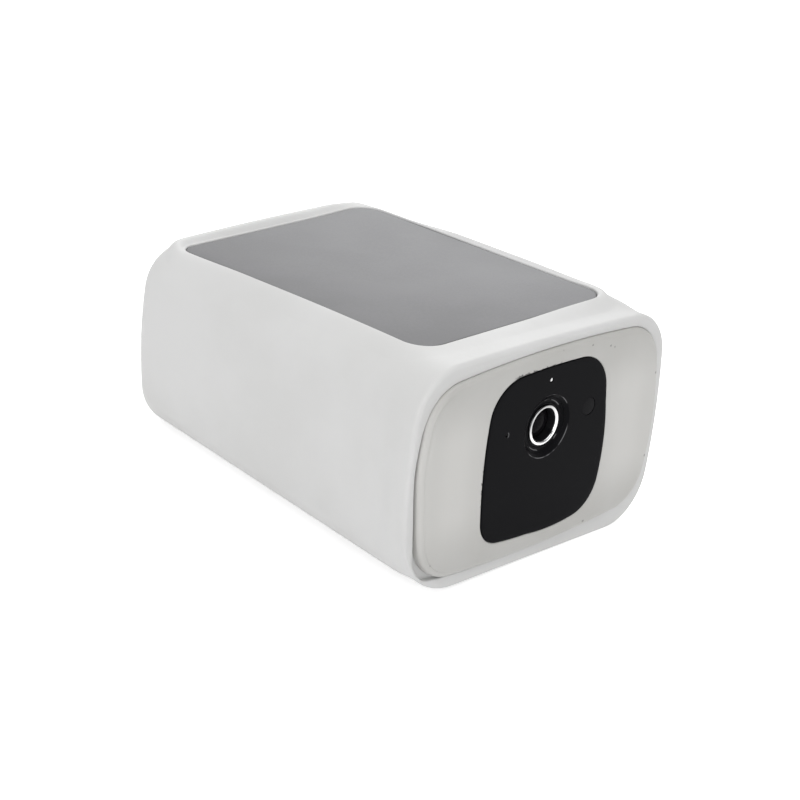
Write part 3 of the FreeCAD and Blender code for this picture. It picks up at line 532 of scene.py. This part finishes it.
spare = 3.0
top_window = upright(solar_width / 2.0 + spare, solar_front - spare, solar_back + spare, solar_corner + spare,
                     solar_sharper + spare, case_top - 2.0 * case_wall - top_bulge, case_top + spare)

lip_top = 30.62
lip_fall = 0.0051
lip_rounding = 0.45
lip_reach = 6.2
lip_root = 2.2
left_rise, rise_start, rise_length = 0.27, 13.0, 60.0
front_rise = 0.28
back_swell = 1.15
right_swell = 1.0


def top_height(x, depth):
    """Height of the sleeve's top at a point: the crown arc, and beyond it the corner arc, rolled as the rim is and
    drawn in as the back is rounded."""
    near = 1.0 - ease((depth - rim_end) / (shoulder_end - rim_end))
    roll = rim_roll * near
    past_end = np.clip(depth - (case_length - back_rounding), 0.0, back_rounding)
    inset = back_rounding - np.sqrt(back_rounding ** 2 - past_end ** 2)
    half = ((case_front_width + (case_back_width - case_front_width) * depth / case_length) / 2.0
            + rim_flare * near - inset)
    high = case_top + (rim_rise - nose_drop) * near - inset
    corner = top_corner + rim_flare * near - inset
    along = half - side_bulge - corner
    crown = ((top_bulge + corner) ** 2 + along ** 2 - corner ** 2) / (2.0 * top_bulge)
    unrolled = x - high * np.sin(roll)
    on_crown = high - crown + np.sqrt(crown ** 2 - np.minimum(np.abs(unrolled), along) ** 2)
    past = np.clip(np.abs(unrolled) - along, 0.0, corner)
    on_corner = high - top_bulge - corner + np.sqrt(corner ** 2 - past ** 2)
    height = np.where(np.abs(unrolled) > along, np.minimum(on_corner, on_crown), on_crown)
    return height * np.cos(roll) - unrolled * np.sin(roll)


reach_share = np.linspace(0.0, 1.0, 15)[1:]
round_turn = np.linspace(0.0, math.pi / 2.0, 6)
lip_out = np.concatenate([[play], play + lip_rounding * (1.0 - np.cos(round_turn)),
                          play + lip_rounding + (lip_reach - lip_rounding) * reach_share, [play + lip_reach - 0.4]])
x, y = slab_outline(solar_width / 2.0 + lip_out, solar_front - lip_out, solar_back + lip_out, solar_corner + lip_out,
                    window_steps, solar_sharper + lip_out)
top = top_height(x, y)
along, across = y[:1], x[:1]
edge_height = (lip_top - lip_fall * along - panel_sag(across, along)
               + left_rise * np.sin(math.pi * np.clip((along - rise_start) / rise_length, 0.0, 1.0))
               * ease((-across - 24.0) / 10.0)
               + front_rise * ease(across / 20.0) * (1.0 - ease((along - 16.0) / 12.0)))
share = reach_share[:, None]
behind = ease((along - solar_back + 5.0) / 5.0) * (1.0 - 0.6 * ease((across - 22.0) / 12.0))
beside = ease((across - 30.0) / 4.0) * (1.0 - ease((along - 66.0) / 22.0)) * (0.6 + 0.4 * ease((along - 14.0) / 30.0))
rise = (back_swell * np.sin(math.pi * np.minimum(share * 1.15, 1.0)) * behind
        + right_swell * np.sin(math.pi * np.minimum(share * 2.2, 1.0)) * beside)
lip_z = np.concatenate([edge_height - lip_root, edge_height - lip_rounding * (1.0 - np.sin(round_turn))[:, None],
                        top[7:-1] + (edge_height - top[7:-1]) * (1.0 - share) ** 2 + rise - 0.05 * ease(share),
                        top[-1:] - 0.9])
lip = skin("lip", stand(x, y, lip_z), tube=True)

speaker_along = 52.0
speaker_half_length = 15.0
speaker_half_width = 10.0
sole_low, sole_high = -0.002, 0.0045
x, y = slab_outline(speaker_half_length, speaker_along - speaker_half_width, speaker_along + speaker_half_width,
                    speaker_half_width - 0.05, window_steps)
sole = stand(0.0, speaker_along, underside_front + speaker_along * math.tan(underside_slope))[1]
rings = [np.stack([x[0] / 1000.0, (y[0] - speaker_along) / 1000.0 + sole, height + 0.0 * x[0]], axis=-1)
         for height in (sole_low, sole_high)]
sole_window = skin("sole_window", np.array(rings))


def smooth(value, low, high):
    """A factor that rises smoothly from 0 to 1 as a number goes from low to high."""
    return new_node(value.material, "ShaderNodeMapRange", {"interpolation_type": "SMOOTHSTEP"},
                    {"Value": value, "From Min": low, "From Max": high}, "Result")


def around(value, middle, low, high):
    """A factor that is 1 while a number is nearer to a middle than low, and falls to 0 where it is as far as high."""
    return 1.0 - smooth(abs(value - middle), low, high)


def blend(factor, first, second):
    """A colour between two others."""
    return new_node(factor.material, "ShaderNodeMix", {"data_type": "RGBA"}, {"Factor": factor, 6: first, 7: second}, 2)


def own_place(material):
    """Place on the object in millimetres of the square frame: the tilt and the shift of standing, taken back."""
    place = new_node(material, "ShaderNodeTexCoord", {}, {}, "Object")
    return new_node(material, "ShaderNodeMapping", {}, {
        "Vector": place, "Scale": (1000.0, 1000.0, 1000.0), "Rotation": (underside_slope, 0.0, 0.0),
        "Location": (0.0, middle_depth * math.cos(underside_slope),
                     middle_depth * math.sin(underside_slope) + underside_front)}, "Vector")


def apart(place):
    """The three numbers of a place."""
    first = new_node(place.material, "ShaderNodeSeparateXYZ", {}, {0: place}, 0)
    return [Value(place.material, output) for output in first.socket.node.outputs]


def noise(place, scale, detail=3.0):
    """A noise between 0 and 1 over a place, with so many grains to its unit."""
    return new_node(place.material, "ShaderNodeTexNoise", {},
                    {"Scale": scale, "Detail": detail, "Vector": place}, "Fac")


def distance(place, x, depth, height):
    """How far a place is from a point."""
    return new_node(place.material, "ShaderNodeVectorMath", {"operation": "DISTANCE"},
                    {0: place, 1: (x, depth, height)}, "Value")


def coloured(colour):
    """Put a colour on the shader of its material."""
    wired(colour.material, colour, shader_input(colour.material, "Base Color"))


def grained(height, strength, deep):
    """A bump of so many millimetres from a height onto the shader of its material."""
    bump = new_node(height.material, "ShaderNodeBump", {},
                    {"Strength": strength, "Distance": deep / 1000.0, "Height": height}, "Normal")
    wired(height.material, bump, shader_input(height.material, "Normal"))


def mottled(material, scale, dark, light, grain, strength, deep):
    """Two close colours that drift into each other on a material, and a fine grain."""
    place = own_place(material)
    coloured(blend(noise(place, scale), dark, light))
    grained(noise(place, grain, 2.0), strength, deep)


silicone = base_material("silicone", (0.68, 0.68, 0.67), 0.5, 0.35)
place = own_place(silicone)
cloud = smooth(noise(place, 0.028, 4.0), 0.35, 0.65)
coloured(blend(cloud, (0.658, 0.658, 0.652), (0.690, 0.690, 0.687)))
grained(noise(place, 3.2, 2.0) + noise(place, 0.12, 2.0) * 5.0, 0.35, 0.09)

sleeve = worked(sleeve, [(top_window, "DIFFERENCE"), (lip, "UNION"), (sole_window, "DIFFERENCE")])
sleeve_piece = piece("silicone_sleeve", sleeve, "camera", silicone)
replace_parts(sleeve_piece, "silicone_case")


# Front plate. A frosted off-white moulding with a rounded edge and a skirt that goes back into the body, in front of
# the white lights. The lens panel sits in its opening, which has a ragged dark residue at its top and left edges.

panel_proud = 0.2
diffuser_wall = 1.8
diffuser_depth = 4.8
diffuser_edge = 1.5
lens_panel_width = 46.0
lens_panel_top = 22.3
lens_panel_bulge = 0.9
panel_aside = 0.3
straighter = 0.5
fuller = 0.75
slip = 0.1
upper_corner, left_corner, right_corner = 11.2, 8.0, 9.6
panel_top_bulge = 0.3


def panel_outline(growth, steps):
    """The lens panel's outline, grown all round by one amount a row. Its upper corners are wider than its lower left,
    its left side is straighter than its right side, and it is fuller towards its lower right."""
    growth = np.asarray(growth, float)
    half = lens_panel_width / 2.0 + growth
    x, z = outline(half, -half, lens_panel_top + growth, upper_corner + growth, left_corner + growth,
                   right_corner + growth, lens_panel_bulge, panel_top_bulge, lens_panel_bulge, steps)
    inward = straighter * ease((-x - 10.0) / 10.0) * np.clip(1.0 - ((z + 2.0) / 18.0) ** 2, 0.0, 1.0)
    outward = fuller * ease((x - 8.0) / 10.0) * np.clip(1.0 - ((z + 9.0) / 16.0) ** 2, 0.0, 1.0)
    down = fuller * ease((-z - 10.0) / 10.0) * np.clip(1.0 - ((x - 11.0) / 15.0) ** 2, 0.0, 1.0)
    return x + panel_aside + inward + outward, z - down


plate_steps = (14, 18, 20)
opening_round = 0.25
groove_depth = 0.13
turn_in = np.linspace(0.0, math.pi / 2.0, 5)
hole_x, hole_z = panel_outline(np.concatenate([[slip], slip + opening_round * (1.0 - np.cos(turn_in))]), plate_steps)
hole_depth = np.concatenate([[panel_proud + diffuser_wall],
                             panel_proud + opening_round * (1.0 - np.sin(turn_in))])
edge_turn = np.linspace(0.0, math.pi / 2.0, 10)
rim_growth = np.concatenate([np.array([-0.42, -0.22, 0.0]) - diffuser_edge,
                             -diffuser_edge * (1.0 - np.sin(edge_turn))])
rim_x, rim_z = plate_outline(np.concatenate([rim_growth, [0.0, -diffuser_wall, -diffuser_wall]]), plate_steps)
fine_groove = groove_depth * ease((-rim_x[1:2] - 30.0) / 10.0)
rim_depth = np.concatenate([np.full(3, panel_proud), panel_proud + diffuser_edge * (1.0 - np.cos(edge_turn)),
                            [panel_proud + diffuser_depth, panel_proud + diffuser_depth,
                             panel_proud + diffuser_wall]])[:, None] + 0.0 * rim_x
rim_depth[1:2] += fine_groove
share = np.linspace(0.0, 1.0, 14)[1:-1, None]
face_x = hole_x[-1:] + (rim_x[:1] - hole_x[-1:]) * share
face_z = hole_z[-1:] + (rim_z[:1] - hole_z[-1:]) * share
plate_points = stand(np.concatenate([hole_x, face_x, rim_x]),
                     np.concatenate([hole_depth[:, None] + 0.0 * hole_x, panel_proud + 0.0 * face_x, rim_depth]),
                     np.concatenate([hole_z, face_z, rim_z]))
frosted = base_material("frosted_plate", (0.56, 0.555, 0.54), 0.45, 0.4)
place = own_place(frosted)
x, depth, z = apart(place)
# Painted light and shade: the plate is painted lighter in two upright bands near its left and right sides, and painted
# darker towards its top and bottom, round the black panel.
painted_light_bands = (around(abs(x), 32.5, 1.5, 8.5) * 0.3 + 0.7) * around(z, diffuser_middle, 8.0, 25.0)
cloud = smooth(noise(place, 0.06, 4.0), 0.3, 0.7)
shaded = blend(painted_light_bands, blend(cloud, (0.492, 0.487, 0.467), (0.520, 0.516, 0.500)), (0.622, 0.616, 0.596))
marks = ((3.6, 25.9, 0.14), (15.0, 24.7, 0.16), (22.4, 22.9, 0.20), (24.1, 22.2, 0.16),
         (43.0, 10.7, 0.22), (42.8, -13.2, 0.26), (19.4, -26.0, 0.28), (-38.8, -21.3, 0.12))
specks = reduce(Value.least, [distance(place, mark_x, panel_proud, mark_z) - size for mark_x, mark_z, size in marks])
rough_edge = (noise(place, 3.0, 2.0) - 0.5) * 0.5
dirt = (1.0 - smooth(specks + rough_edge, -0.05, 0.25)) * 0.55
ragged = (noise(place, 1.3, 4.0) - 0.46) * 2.6
over_top = z - (lens_panel_top + slip)
beyond_side = z * z * (1.0 / 232.0) - (x + 22.3)
for away, over, reach in ((over_top, x, 8.5), (beyond_side, z, 5.5)):
    close = 1.0 - smooth(away - ragged, 0.0, 0.14)
    there = around(over, -5.0, reach - 1.0, reach + 1.0) * around(away, 0.0, 0.9, 1.2)
    dirt = dirt.most(close * there * 0.85)
coloured(blend(dirt, shaded, (0.045, 0.044, 0.043)))
grained(noise(place, 3.4, 2.0), 0.25, 0.03)
plate_piece = piece("front_plate", skin("front_plate", plate_points, tube=True), "camera", frosted)
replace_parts(plate_piece, "front_diffuser")


# Lens panel. Polished black plastic let into the front plate, with a stepped conical recess round the lens, a pin hole
# for the status light, one for the microphone and a shallow seat for the light sensor.

lens_height = 6.1
recess_mouth = 8.5
recess_floor = 6.65
recess_depth = 1.4
barrel_head = 5.95
panel_wall = 2.0
panel_steps = (12, 16, 12)
edge_turn = np.linspace(math.pi / 2.0, 0.0, 5)
side_x, side_z = panel_outline(np.concatenate([[0.0], -panel_proud * (1.0 - np.sin(edge_turn))]), panel_steps)
side_depth = np.concatenate([[panel_wall], panel_proud * (1.0 - np.cos(edge_turn))])
angle = np.arctan2(side_z[-1] - lens_height, side_x[-1])
mouth_x = (recess_mouth + 0.08) * np.cos(angle)[None]
mouth_z = lens_height + (recess_mouth + 0.08) * np.sin(angle)[None]
share = np.linspace(0.0, 1.0, 16)[1:, None]
face_x = side_x[-1:] + (mouth_x - side_x[-1:]) * share
face_z = side_z[-1:] + (mouth_z - side_z[-1:]) * share
cone_radius = np.array([recess_mouth, 7.62, 7.50, 7.36, 7.28, recess_floor, barrel_head + slip, barrel_head + slip])
cone_depth = np.array([0.06, 0.70, 0.62, 0.66, 0.92, recess_depth, recess_depth + 0.03, panel_wall])
cone_x = cone_radius[:, None] * np.cos(angle)
cone_z = lens_height + cone_radius[:, None] * np.sin(angle)
panel_points = stand(np.concatenate([side_x, face_x, cone_x]),
                     np.concatenate([side_depth, np.zeros(len(share)), cone_depth])[:, None],
                     np.concatenate([side_z, face_z, cone_z]))


def turned(name, radii, depths, x=0.0, z=lens_height, sides=96, tube=False):
    """A surface of revolution about an axis along the depth: each pair of radius and depth is one ring."""
    about = np.linspace(0.0, 2.0 * math.pi, sides, endpoint=False)
    radii, depths = np.asarray(radii, float)[:, None], np.asarray(depths, float)[:, None]
    return skin(name, stand(x + radii * np.cos(about), depths, z + radii * np.sin(about)), tube)


light_height = 18.75
sensor_x, sensor_height = 16.0, 7.7
microphone_x, microphone_height = -15.2, 7.5
light_hole, microphone_hole, sensor_hole = 0.65, 0.5, 2.45
before, behind_panel, sensor_floor = -1.0, 3.0, 1.65
holes = ((0.0, light_height, light_hole, behind_panel),
         (microphone_x, microphone_height, microphone_hole, behind_panel),
         (sensor_x, sensor_height, sensor_hole, sensor_floor))
panel_mesh = worked(skin("lens_panel", panel_points, tube=True),
                    [(turned("hole", [radius, radius], [before, end], x, z, 48), "DIFFERENCE")
                     for x, z, radius, end in holes])
gloss_black = base_material("gloss_black", (0.0066, 0.0066, 0.0076), 0.26, 0.02)
place = own_place(gloss_black)
x, depth, z = apart(place)
# Painted highlights: thin lighter rings at the recess mouth and at the step inside it, broken into dashes by noise, and
# a lighter arc on the right of the microphone hole, where their edges would catch light.
away = distance(place, 0.0, 0.0, lens_height)
highlight_dashes = noise(place, 0.22, 3.0)
lines = reduce(Value.most, [around(away, radius, width * 0.5, width * 1.6) * smooth(highlight_dashes, low, high)
                            for radius, width, low, high in ((8.45, 0.09, 0.46, 0.62), (6.85, 0.10, 0.48, 0.56))])
arc = (around(distance(place, microphone_x, 0.0, microphone_height), 0.72, 0.10, 0.24)
       * smooth(x, microphone_x + 0.2, microphone_x + 0.6))
coloured(blend(lines.most(arc * 0.7), (0.0066, 0.0066, 0.0076), (0.15, 0.15, 0.155)))
grained(noise(place, 1.2, 2.0), 0.08, 0.02)
panel_piece = piece("black_panel", panel_mesh, "camera", gloss_black, 25.0)
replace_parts(panel_piece, "lens_panel")


# Light pipe. A clear-white pin whose domed end shows in the panel's top hole; its head lies behind the panel.

light_radius = 0.52
light_head_radius = 1.6
panel_flange = 1.2
panel_back = panel_proud + diffuser_wall + panel_flange
dome = np.linspace(0.12, 1.0, 7)
pin = turned("light_pin", np.concatenate([light_radius * np.sin(dome * math.pi / 2.0),
                                          [light_radius, light_head_radius, light_head_radius]]),
             np.concatenate([slip + 0.25 * (1.0 - np.cos(dome * math.pi / 2.0)),
                             [panel_back, panel_back, panel_back + 1.0]]), 0.0, light_height, 48)
pipe_white = base_material("pipe_white", (0.80, 0.80, 0.80), 0.25)
coloured(blend(noise(own_place(pipe_white), 2.0), (0.80, 0.80, 0.80), (0.88, 0.88, 0.88)))
# Painted glow: the pin gives off a faint light of its own, though it is no lamp.
shader_input(pipe_white, "Emission Color").default_value = (1.0, 1.0, 1.0, 1.0)
shader_input(pipe_white, "Emission Strength").default_value = 0.12
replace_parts(piece("light_pin", pin, "camera", pipe_white), "status_light_pipe")


# Light sensor window. A dark tinted disc with a fine polished chamfer, set in its seat in the black panel.

sensor_radius = 2.4
sensor_back = 1.6
disc = turned("sensor_disc", [0.6, 1.4, sensor_radius - 0.16, sensor_radius, sensor_radius, 1.4],
              [slip - 0.04, slip - 0.03, slip, slip + 0.14, sensor_back, sensor_back], sensor_x, sensor_height, 72)
tinted_disc = base_material("tinted_disc", (0.0085, 0.0085, 0.0095), 0.16, 0.03)
place = own_place(tinted_disc)
# Painted highlight: the disc is painted lighter round its edge, on the chamfer.
rim = smooth(distance(place, sensor_x, slip, sensor_height), 2.12, 2.36)
coloured(blend(rim, (0.0080, 0.0080, 0.0090), (0.024, 0.024, 0.026)))
grained(noise(place, 1.5, 2.0), 0.1, 0.01)
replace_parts(piece("sensor_disc", disc, "camera", tinted_disc, 25.0), "light_sensor_window")


# Lens barrel. Turned black metal, seated in the recess: its stepped mouth holds the front glass, and the bore behind
# it is cut with fine ridges that keep stray light down.

trim_outer, trim_inner, trim_rise = 5.55, 4.45, 0.6
barrel_face = 1.4
barrel_back = 17.2
head_back = 6.4
ridge_count = 15.0
barrel_radius = 5.5
bore = 3.2
glass_radius = 4.0
glass_edge = 3.3
glass_back = 5.1
mouth = np.linspace(0.0, 1.0, 13)
ridge = np.where(np.arange(13) % 2 == 1, 0.07, 0.0)
thread_share = np.linspace(0.0, 1.0, 61)
bore_depth = glass_back + (barrel_back - glass_back) * thread_share
bore_ridge = 0.14 * (0.5 - 0.5 * np.cos(thread_share * 2.0 * math.pi * ridge_count))
barrel = turned("barrel", np.concatenate([[barrel_head, barrel_head, barrel_head - 0.12, trim_inner - slip - 0.02],
                                          trim_inner - slip - 0.3 * mouth - ridge, [glass_radius + 0.05, bore + 0.02],
                                          bore - bore_ridge, [barrel_radius, barrel_radius]]),
                np.concatenate([[head_back, barrel_face + 0.12, barrel_face, barrel_face],
                                barrel_face + (glass_edge - barrel_face) * mouth, [glass_back, glass_back],
                                bore_depth, [barrel_back, head_back]]), tube=True)
barrel_black = base_material("barrel_black", (0.004, 0.004, 0.005), 0.4, 0.06)
mottled(barrel_black, 0.8, (0.003, 0.003, 0.004), (0.006, 0.006, 0.007), 4.0, 0.15, 0.01)
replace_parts(piece("barrel", barrel, "camera", barrel_black, 30.0), "lens_barrel")


# Bright ring. Polished metal with a rounded nose, pressed onto the face of the barrel round the front glass.

bow = np.linspace(0.0, math.pi, 21)
ring_middle, ring_half = (trim_outer + trim_inner) / 2.0, (trim_outer - trim_inner) / 2.0
bright = base_material("bright_ring", (0.86, 0.86, 0.86), 0.2, 0.5, 1.0)
place = own_place(bright)
x, depth, z = apart(place)
away = distance(place, 0.0, barrel_face - 0.3, lens_height)
# Painted light and shade: the ring is painted brighter towards its lower right and darker towards its upper left. The
# dark band on its outer shoulder is partly black paint and partly painted shade, which widens it towards the upper
# left.
lean = x * 0.55 - (z - lens_height)
shoulder_paint_and_painted_shade = smooth(away - (lean * 0.026 + 5.36), 0.0, 0.10)
painted_light_across_ring = blend(smooth(lean, -4.5, 1.5), (0.45, 0.45, 0.45), (0.86, 0.86, 0.86))
coloured(blend(shoulder_paint_and_painted_shade, painted_light_across_ring, (0.05, 0.05, 0.052)))
ring_mesh = turned("bright_ring", ring_middle + ring_half * np.cos(bow), barrel_face - trim_rise * np.sin(bow),
                   tube=True)
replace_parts(piece("bright_ring", ring_mesh, "camera", bright), "lens_trim_ring")


# Front glass. The domed outer element, coated dark, held by its edge in the mouth of the barrel.

glass_dome = 0.9
sphere = (glass_radius ** 2 + glass_dome ** 2) / (2.0 * glass_dome)
radii = glass_radius * np.linspace(0.03, 1.0, 24)
front = turned("front_glass", np.concatenate([radii, [glass_radius, glass_radius - 0.6]]),
               np.concatenate([glass_edge - glass_dome + sphere - np.sqrt(sphere ** 2 - radii ** 2),
                               [glass_back, glass_back]]))
coated = base_material("coated_glass", (0.002, 0.002, 0.003), 0.06, 0.02)
away = distance(own_place(coated), 0.0, 3.0, lens_height)
# Painted reflections: faint lighter circles on the coated glass stand for light off the rims of the inner elements.
painted_element_reflections = reduce(Value.most, [
    around(away, radius, width * 0.5, width * 2.4) * level
    for radius, width, level in ((1.05, 0.06, 0.6), (1.75, 0.05, 0.8), (2.6, 0.06, 1.0), (3.3, 0.05, 0.6))])
coloured(blend(painted_element_reflections, (0.0050, 0.0046, 0.0055), (0.0120, 0.0112, 0.0130)))
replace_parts(piece("front_glass", front, "camera", coated, 30.0), "lens_front_glass")


# Solar panel. Grey matte laminate with soft corners, taped into a recess of the shell and framed by the sleeve's lip.

solar_thick = 3.0
chamfer = 0.25
solar_steps = (30, 12, 24)
edge_turn = np.linspace(0.0, math.pi / 2.0, 4)
cut_in = np.concatenate([[0.0], chamfer * (1.0 - np.cos(edge_turn))])
x, y = slab_outline(solar_width / 2.0 - cut_in, solar_front + cut_in, solar_back - cut_in, solar_corner - cut_in,
                    solar_steps, solar_sharper - cut_in)
solar_rise = np.concatenate([[-solar_thick], -chamfer * (1.0 - np.sin(edge_turn))])[:, None]
solar_heights = solar_top - solar_fall * y - panel_sag(x, y) + solar_rise
laminate = base_material("laminate", (0.27, 0.27, 0.275), 0.55, 0.3)
place = own_place(laminate)
across, along, z = apart(place)
mottle = noise(place, 0.035, 5.0) * 0.55 + (noise(place, 5.0, 2.0) * 0.2 + noise(place, 1.6, 2.0) * 0.25)
# Painted light: the laminate is painted lighter towards its right and back and darker towards its left and front, over
# its own mottle.
painted_light_across = smooth(across * 0.9 + along * 0.25, -45.0, 65.0)
ground = blend(painted_light_across, (0.184, 0.184, 0.190), (0.288, 0.288, 0.297))
darker = blend(painted_light_across, (0.162, 0.162, 0.167), (0.255, 0.255, 0.263))
coloured(blend(smooth(mottle, 0.36, 0.64), darker, ground))
grained(noise(place, 2.6, 2.0), 0.3, 0.03)
solar_mesh = skin("solar_laminate", stand(x, y, solar_heights))
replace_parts(piece("solar_laminate", solar_mesh, "camera", laminate), "solar_panel")


# Mount insert. Turned brass let into the back of the shell, with a flange and a blind hole that takes a tripod
# screw: a quarter of an inch across, twenty turns to the inch.

shell_back = 108.85
insert_front = 100.85
insert_radius = 6.0
flange_radius = 6.8
flange_depth = 107.65
hole_floor = 101.85
crest = 2.62
root = 3.12
pitch = 1.27
thread_rows = 120
down = np.linspace(0.0, 1.0, thread_rows)[:, None]
about = np.linspace(0.0, 2.0 * math.pi, 96, endpoint=False)
hole_depth = shell_back - 0.55 - (shell_back - 0.55 - hole_floor) * down + 0.0 * about
phase = (hole_depth / pitch + about / (2.0 * math.pi)) % 1.0
groove = np.clip(1.25 - 2.5 * np.abs(phase - 0.5) * 1.35, 0.0, 1.0)
fade = ease(down / 0.08) * ease((1.0 - down) / 0.10)
hole_radius = crest + (root - crest) * groove * fade
outer_radius = np.array([insert_radius - 0.3, insert_radius, insert_radius, flange_radius, flange_radius,
                         flange_radius - 0.2, root + 0.15, crest + 0.35])[:, None] + 0.0 * about
outer_place = np.array([insert_front, insert_front + 0.3, flange_depth, flange_depth, shell_back - 0.2, shell_back,
                        shell_back, shell_back - 0.3])[:, None] + 0.0 * about
radius = np.concatenate([outer_radius, hole_radius])
depth = np.concatenate([outer_place, hole_depth])
insert = skin("thread_insert", stand(radius * np.cos(about), depth, rear_row + radius * np.sin(about)))
brass = base_material("brass", (0.62, 0.43, 0.17), 0.32, 0.5, 1.0)
mottled(brass, 0.7, (0.58, 0.40, 0.16), (0.68, 0.49, 0.21), 6.0, 0.2, 0.01)
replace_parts(piece("thread_insert", insert, "camera", brass, 28.0), "mount_insert")


# Port cover. A soft flap hinged at its end towards the middle: a rounded outer edge, a knuckle along the hinge, a
# nose that plugs the opening over the charging socket and a finger ridge near its free end.

port_x = 21.0
cover_half_length = 8.2
cover_half_height = 4.6
cover_front = 108.95
cover_thick = 1.4
cover_corner = 3.0
cover_soft = 0.35
soft_turn = np.linspace(0.0, math.pi / 2.0, 6)
shrink = np.concatenate([[0.12, 0.0], cover_soft * (1.0 - np.cos(soft_turn))])
v, u = outline(cover_half_height - shrink, port_x - cover_half_length + 0.0 * shrink,
               port_x + cover_half_length - shrink, cover_corner - shrink, 0.3, 0.3, flat, flat, flat, (10, 14, 6))
levels = np.concatenate([[cover_front, cover_front + 0.12],
                         cover_front + cover_thick - cover_soft * (1.0 - np.sin(soft_turn))])
flap = skin("flap", stand(u, levels[:, None], rear_row + v))
knuckle_turn = np.linspace(0.0, 2.0 * math.pi, 32, endpoint=False)
knuckle_radius = cover_thick / 2.0 - np.array([0.15, 0.0, 0.0, 0.15])[:, None]
knuckle_end = np.array([-cover_half_height, 0.15 - cover_half_height, cover_half_height - 0.15,
                        cover_half_height])[:, None]
knuckle = skin("knuckle", stand(port_x - cover_half_length + knuckle_radius * np.cos(knuckle_turn),
                                cover_front + cover_thick / 2.0 + knuckle_radius * np.sin(knuckle_turn),
                                rear_row + knuckle_end))


def small_outline(half_length, half_height, corner, inset, steps):
    """A rectangle with equal round corners, moved in by one amount a row."""
    corner = corner - inset
    return outline(half_length - inset, inset - half_height, half_height - inset, corner, corner, corner, flat, flat,
                   flat, steps)


x, z = small_outline(4.8, 1.95, 1.9, np.array([0.35, 0.0, 0.0, 0.0]), (4, 14, 4))
plug = skin("plug", stand(port_x + x, np.array([107.55, 107.9, 108.8, 109.5])[:, None], rear_row + z))
ridge_half = 0.5
ridge_from_end = 1.6
x, z = small_outline(ridge_half, 2.6, 0.45, np.array([0.0, 0.0, 0.08, 0.28]), (4, 8, 4))
ridge_middle = port_x + cover_half_length - ridge_from_end - ridge_half
finger = skin("finger", stand(ridge_middle + x, np.array([109.6, 110.5, 110.68, 110.75])[:, None], rear_row + z))
rubber = base_material("rubber", (0.60, 0.60, 0.59), 0.6, 0.3)
mottled(rubber, 0.2, (0.575, 0.575, 0.565), (0.625, 0.625, 0.615), 4.0, 0.3, 0.03)
flap = worked(flap, [(knuckle, "UNION"), (plug, "UNION"), (finger, "UNION")])
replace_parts(piece("port_flap", flap, "port_cover", rubber, 30.0), "port_cover")


# Button. A moulded cap with a dished face and a rounded rim, held behind the wall by its flange; its stem presses
# the switch on the rear board.

button_x = -21.0
button_radius = 3.6
button_face = 109.45
dish_depth = 0.28
rim_radius = 3.1
flange_front, flange_back = 106.35, 105.85
button_flange = 4.8
stem_radius, stem_end = 1.6, 105.55
soft_turn = np.linspace(0.0, math.pi / 2.0, 7)
dish = np.linspace(0.05, 1.0, 12)
dish_radius = 2.75 * dish
cap = turned("button_cap", np.concatenate([dish_radius, rim_radius + 0.5 * np.sin(soft_turn),
                                           [button_radius, button_flange, button_flange, stem_radius, stem_radius]]),
             np.concatenate([button_face - dish_depth * (1.0 - dish ** 2),
                             button_face - 0.5 * (1.0 - np.cos(soft_turn)),
                             [flange_front, flange_front, flange_back, flange_back, stem_end]]),
             button_x, rear_row, 72)
moulded = base_material("moulded", (0.50, 0.50, 0.49), 0.4, 0.4)
mottled(moulded, 0.3, (0.485, 0.485, 0.475), (0.515, 0.515, 0.505), 5.0, 0.25, 0.02)
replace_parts(piece("button_cap", cap, "sync_button", moulded, 30.0), "sync_button")


# The pieces inside, and the shell, keep their modelled form: boards, screws, cells, cradle, chassis, speaker. Each
# gets the finish of what it is made of.

finishes = {
    "shell": ((0.66, 0.66, 0.65), 0.42, 0.0), "foam": ((0.03, 0.03, 0.03), 0.9, 0.0),
    "lens_glass": ((0.02, 0.02, 0.03), 0.05, 0.0), "metal_can": ((0.62, 0.62, 0.60), 0.35, 1.0),
    "chassis": ((0.05, 0.05, 0.055), 0.5, 0.0), "screw": ((0.45, 0.45, 0.46), 0.3, 1.0),
    "board": ((0.02, 0.11, 0.045), 0.4, 0.0), "led": ((0.80, 0.72, 0.30), 0.3, 0.0),
    "chip": ((0.02, 0.02, 0.022), 0.35, 0.0), "cell": ((0.05, 0.16, 0.36), 0.3, 0.0),
    "speaker": ((0.03, 0.03, 0.03), 0.5, 0.0),
}
plain = {}
for slot, (colour, roughness, metal) in finishes.items():
    made = base_material("plain_" + slot, colour, roughness, 0.5, metal)
    lighter = tuple(min(1.0, value * 1.08) for value in colour)
    mottled(made, 0.25, tuple(value * 0.92 for value in colour), lighter, 3.0, 0.25, 0.02)
    plain[slot] = made
slots = {part["node"]: part["material_slot"] for part in record["subparts"]}
for name, node in frame["nodes"].items():
    node.data.materials.clear()
    node.data.materials.append(plain.get(slots[name], plain["shell"]))
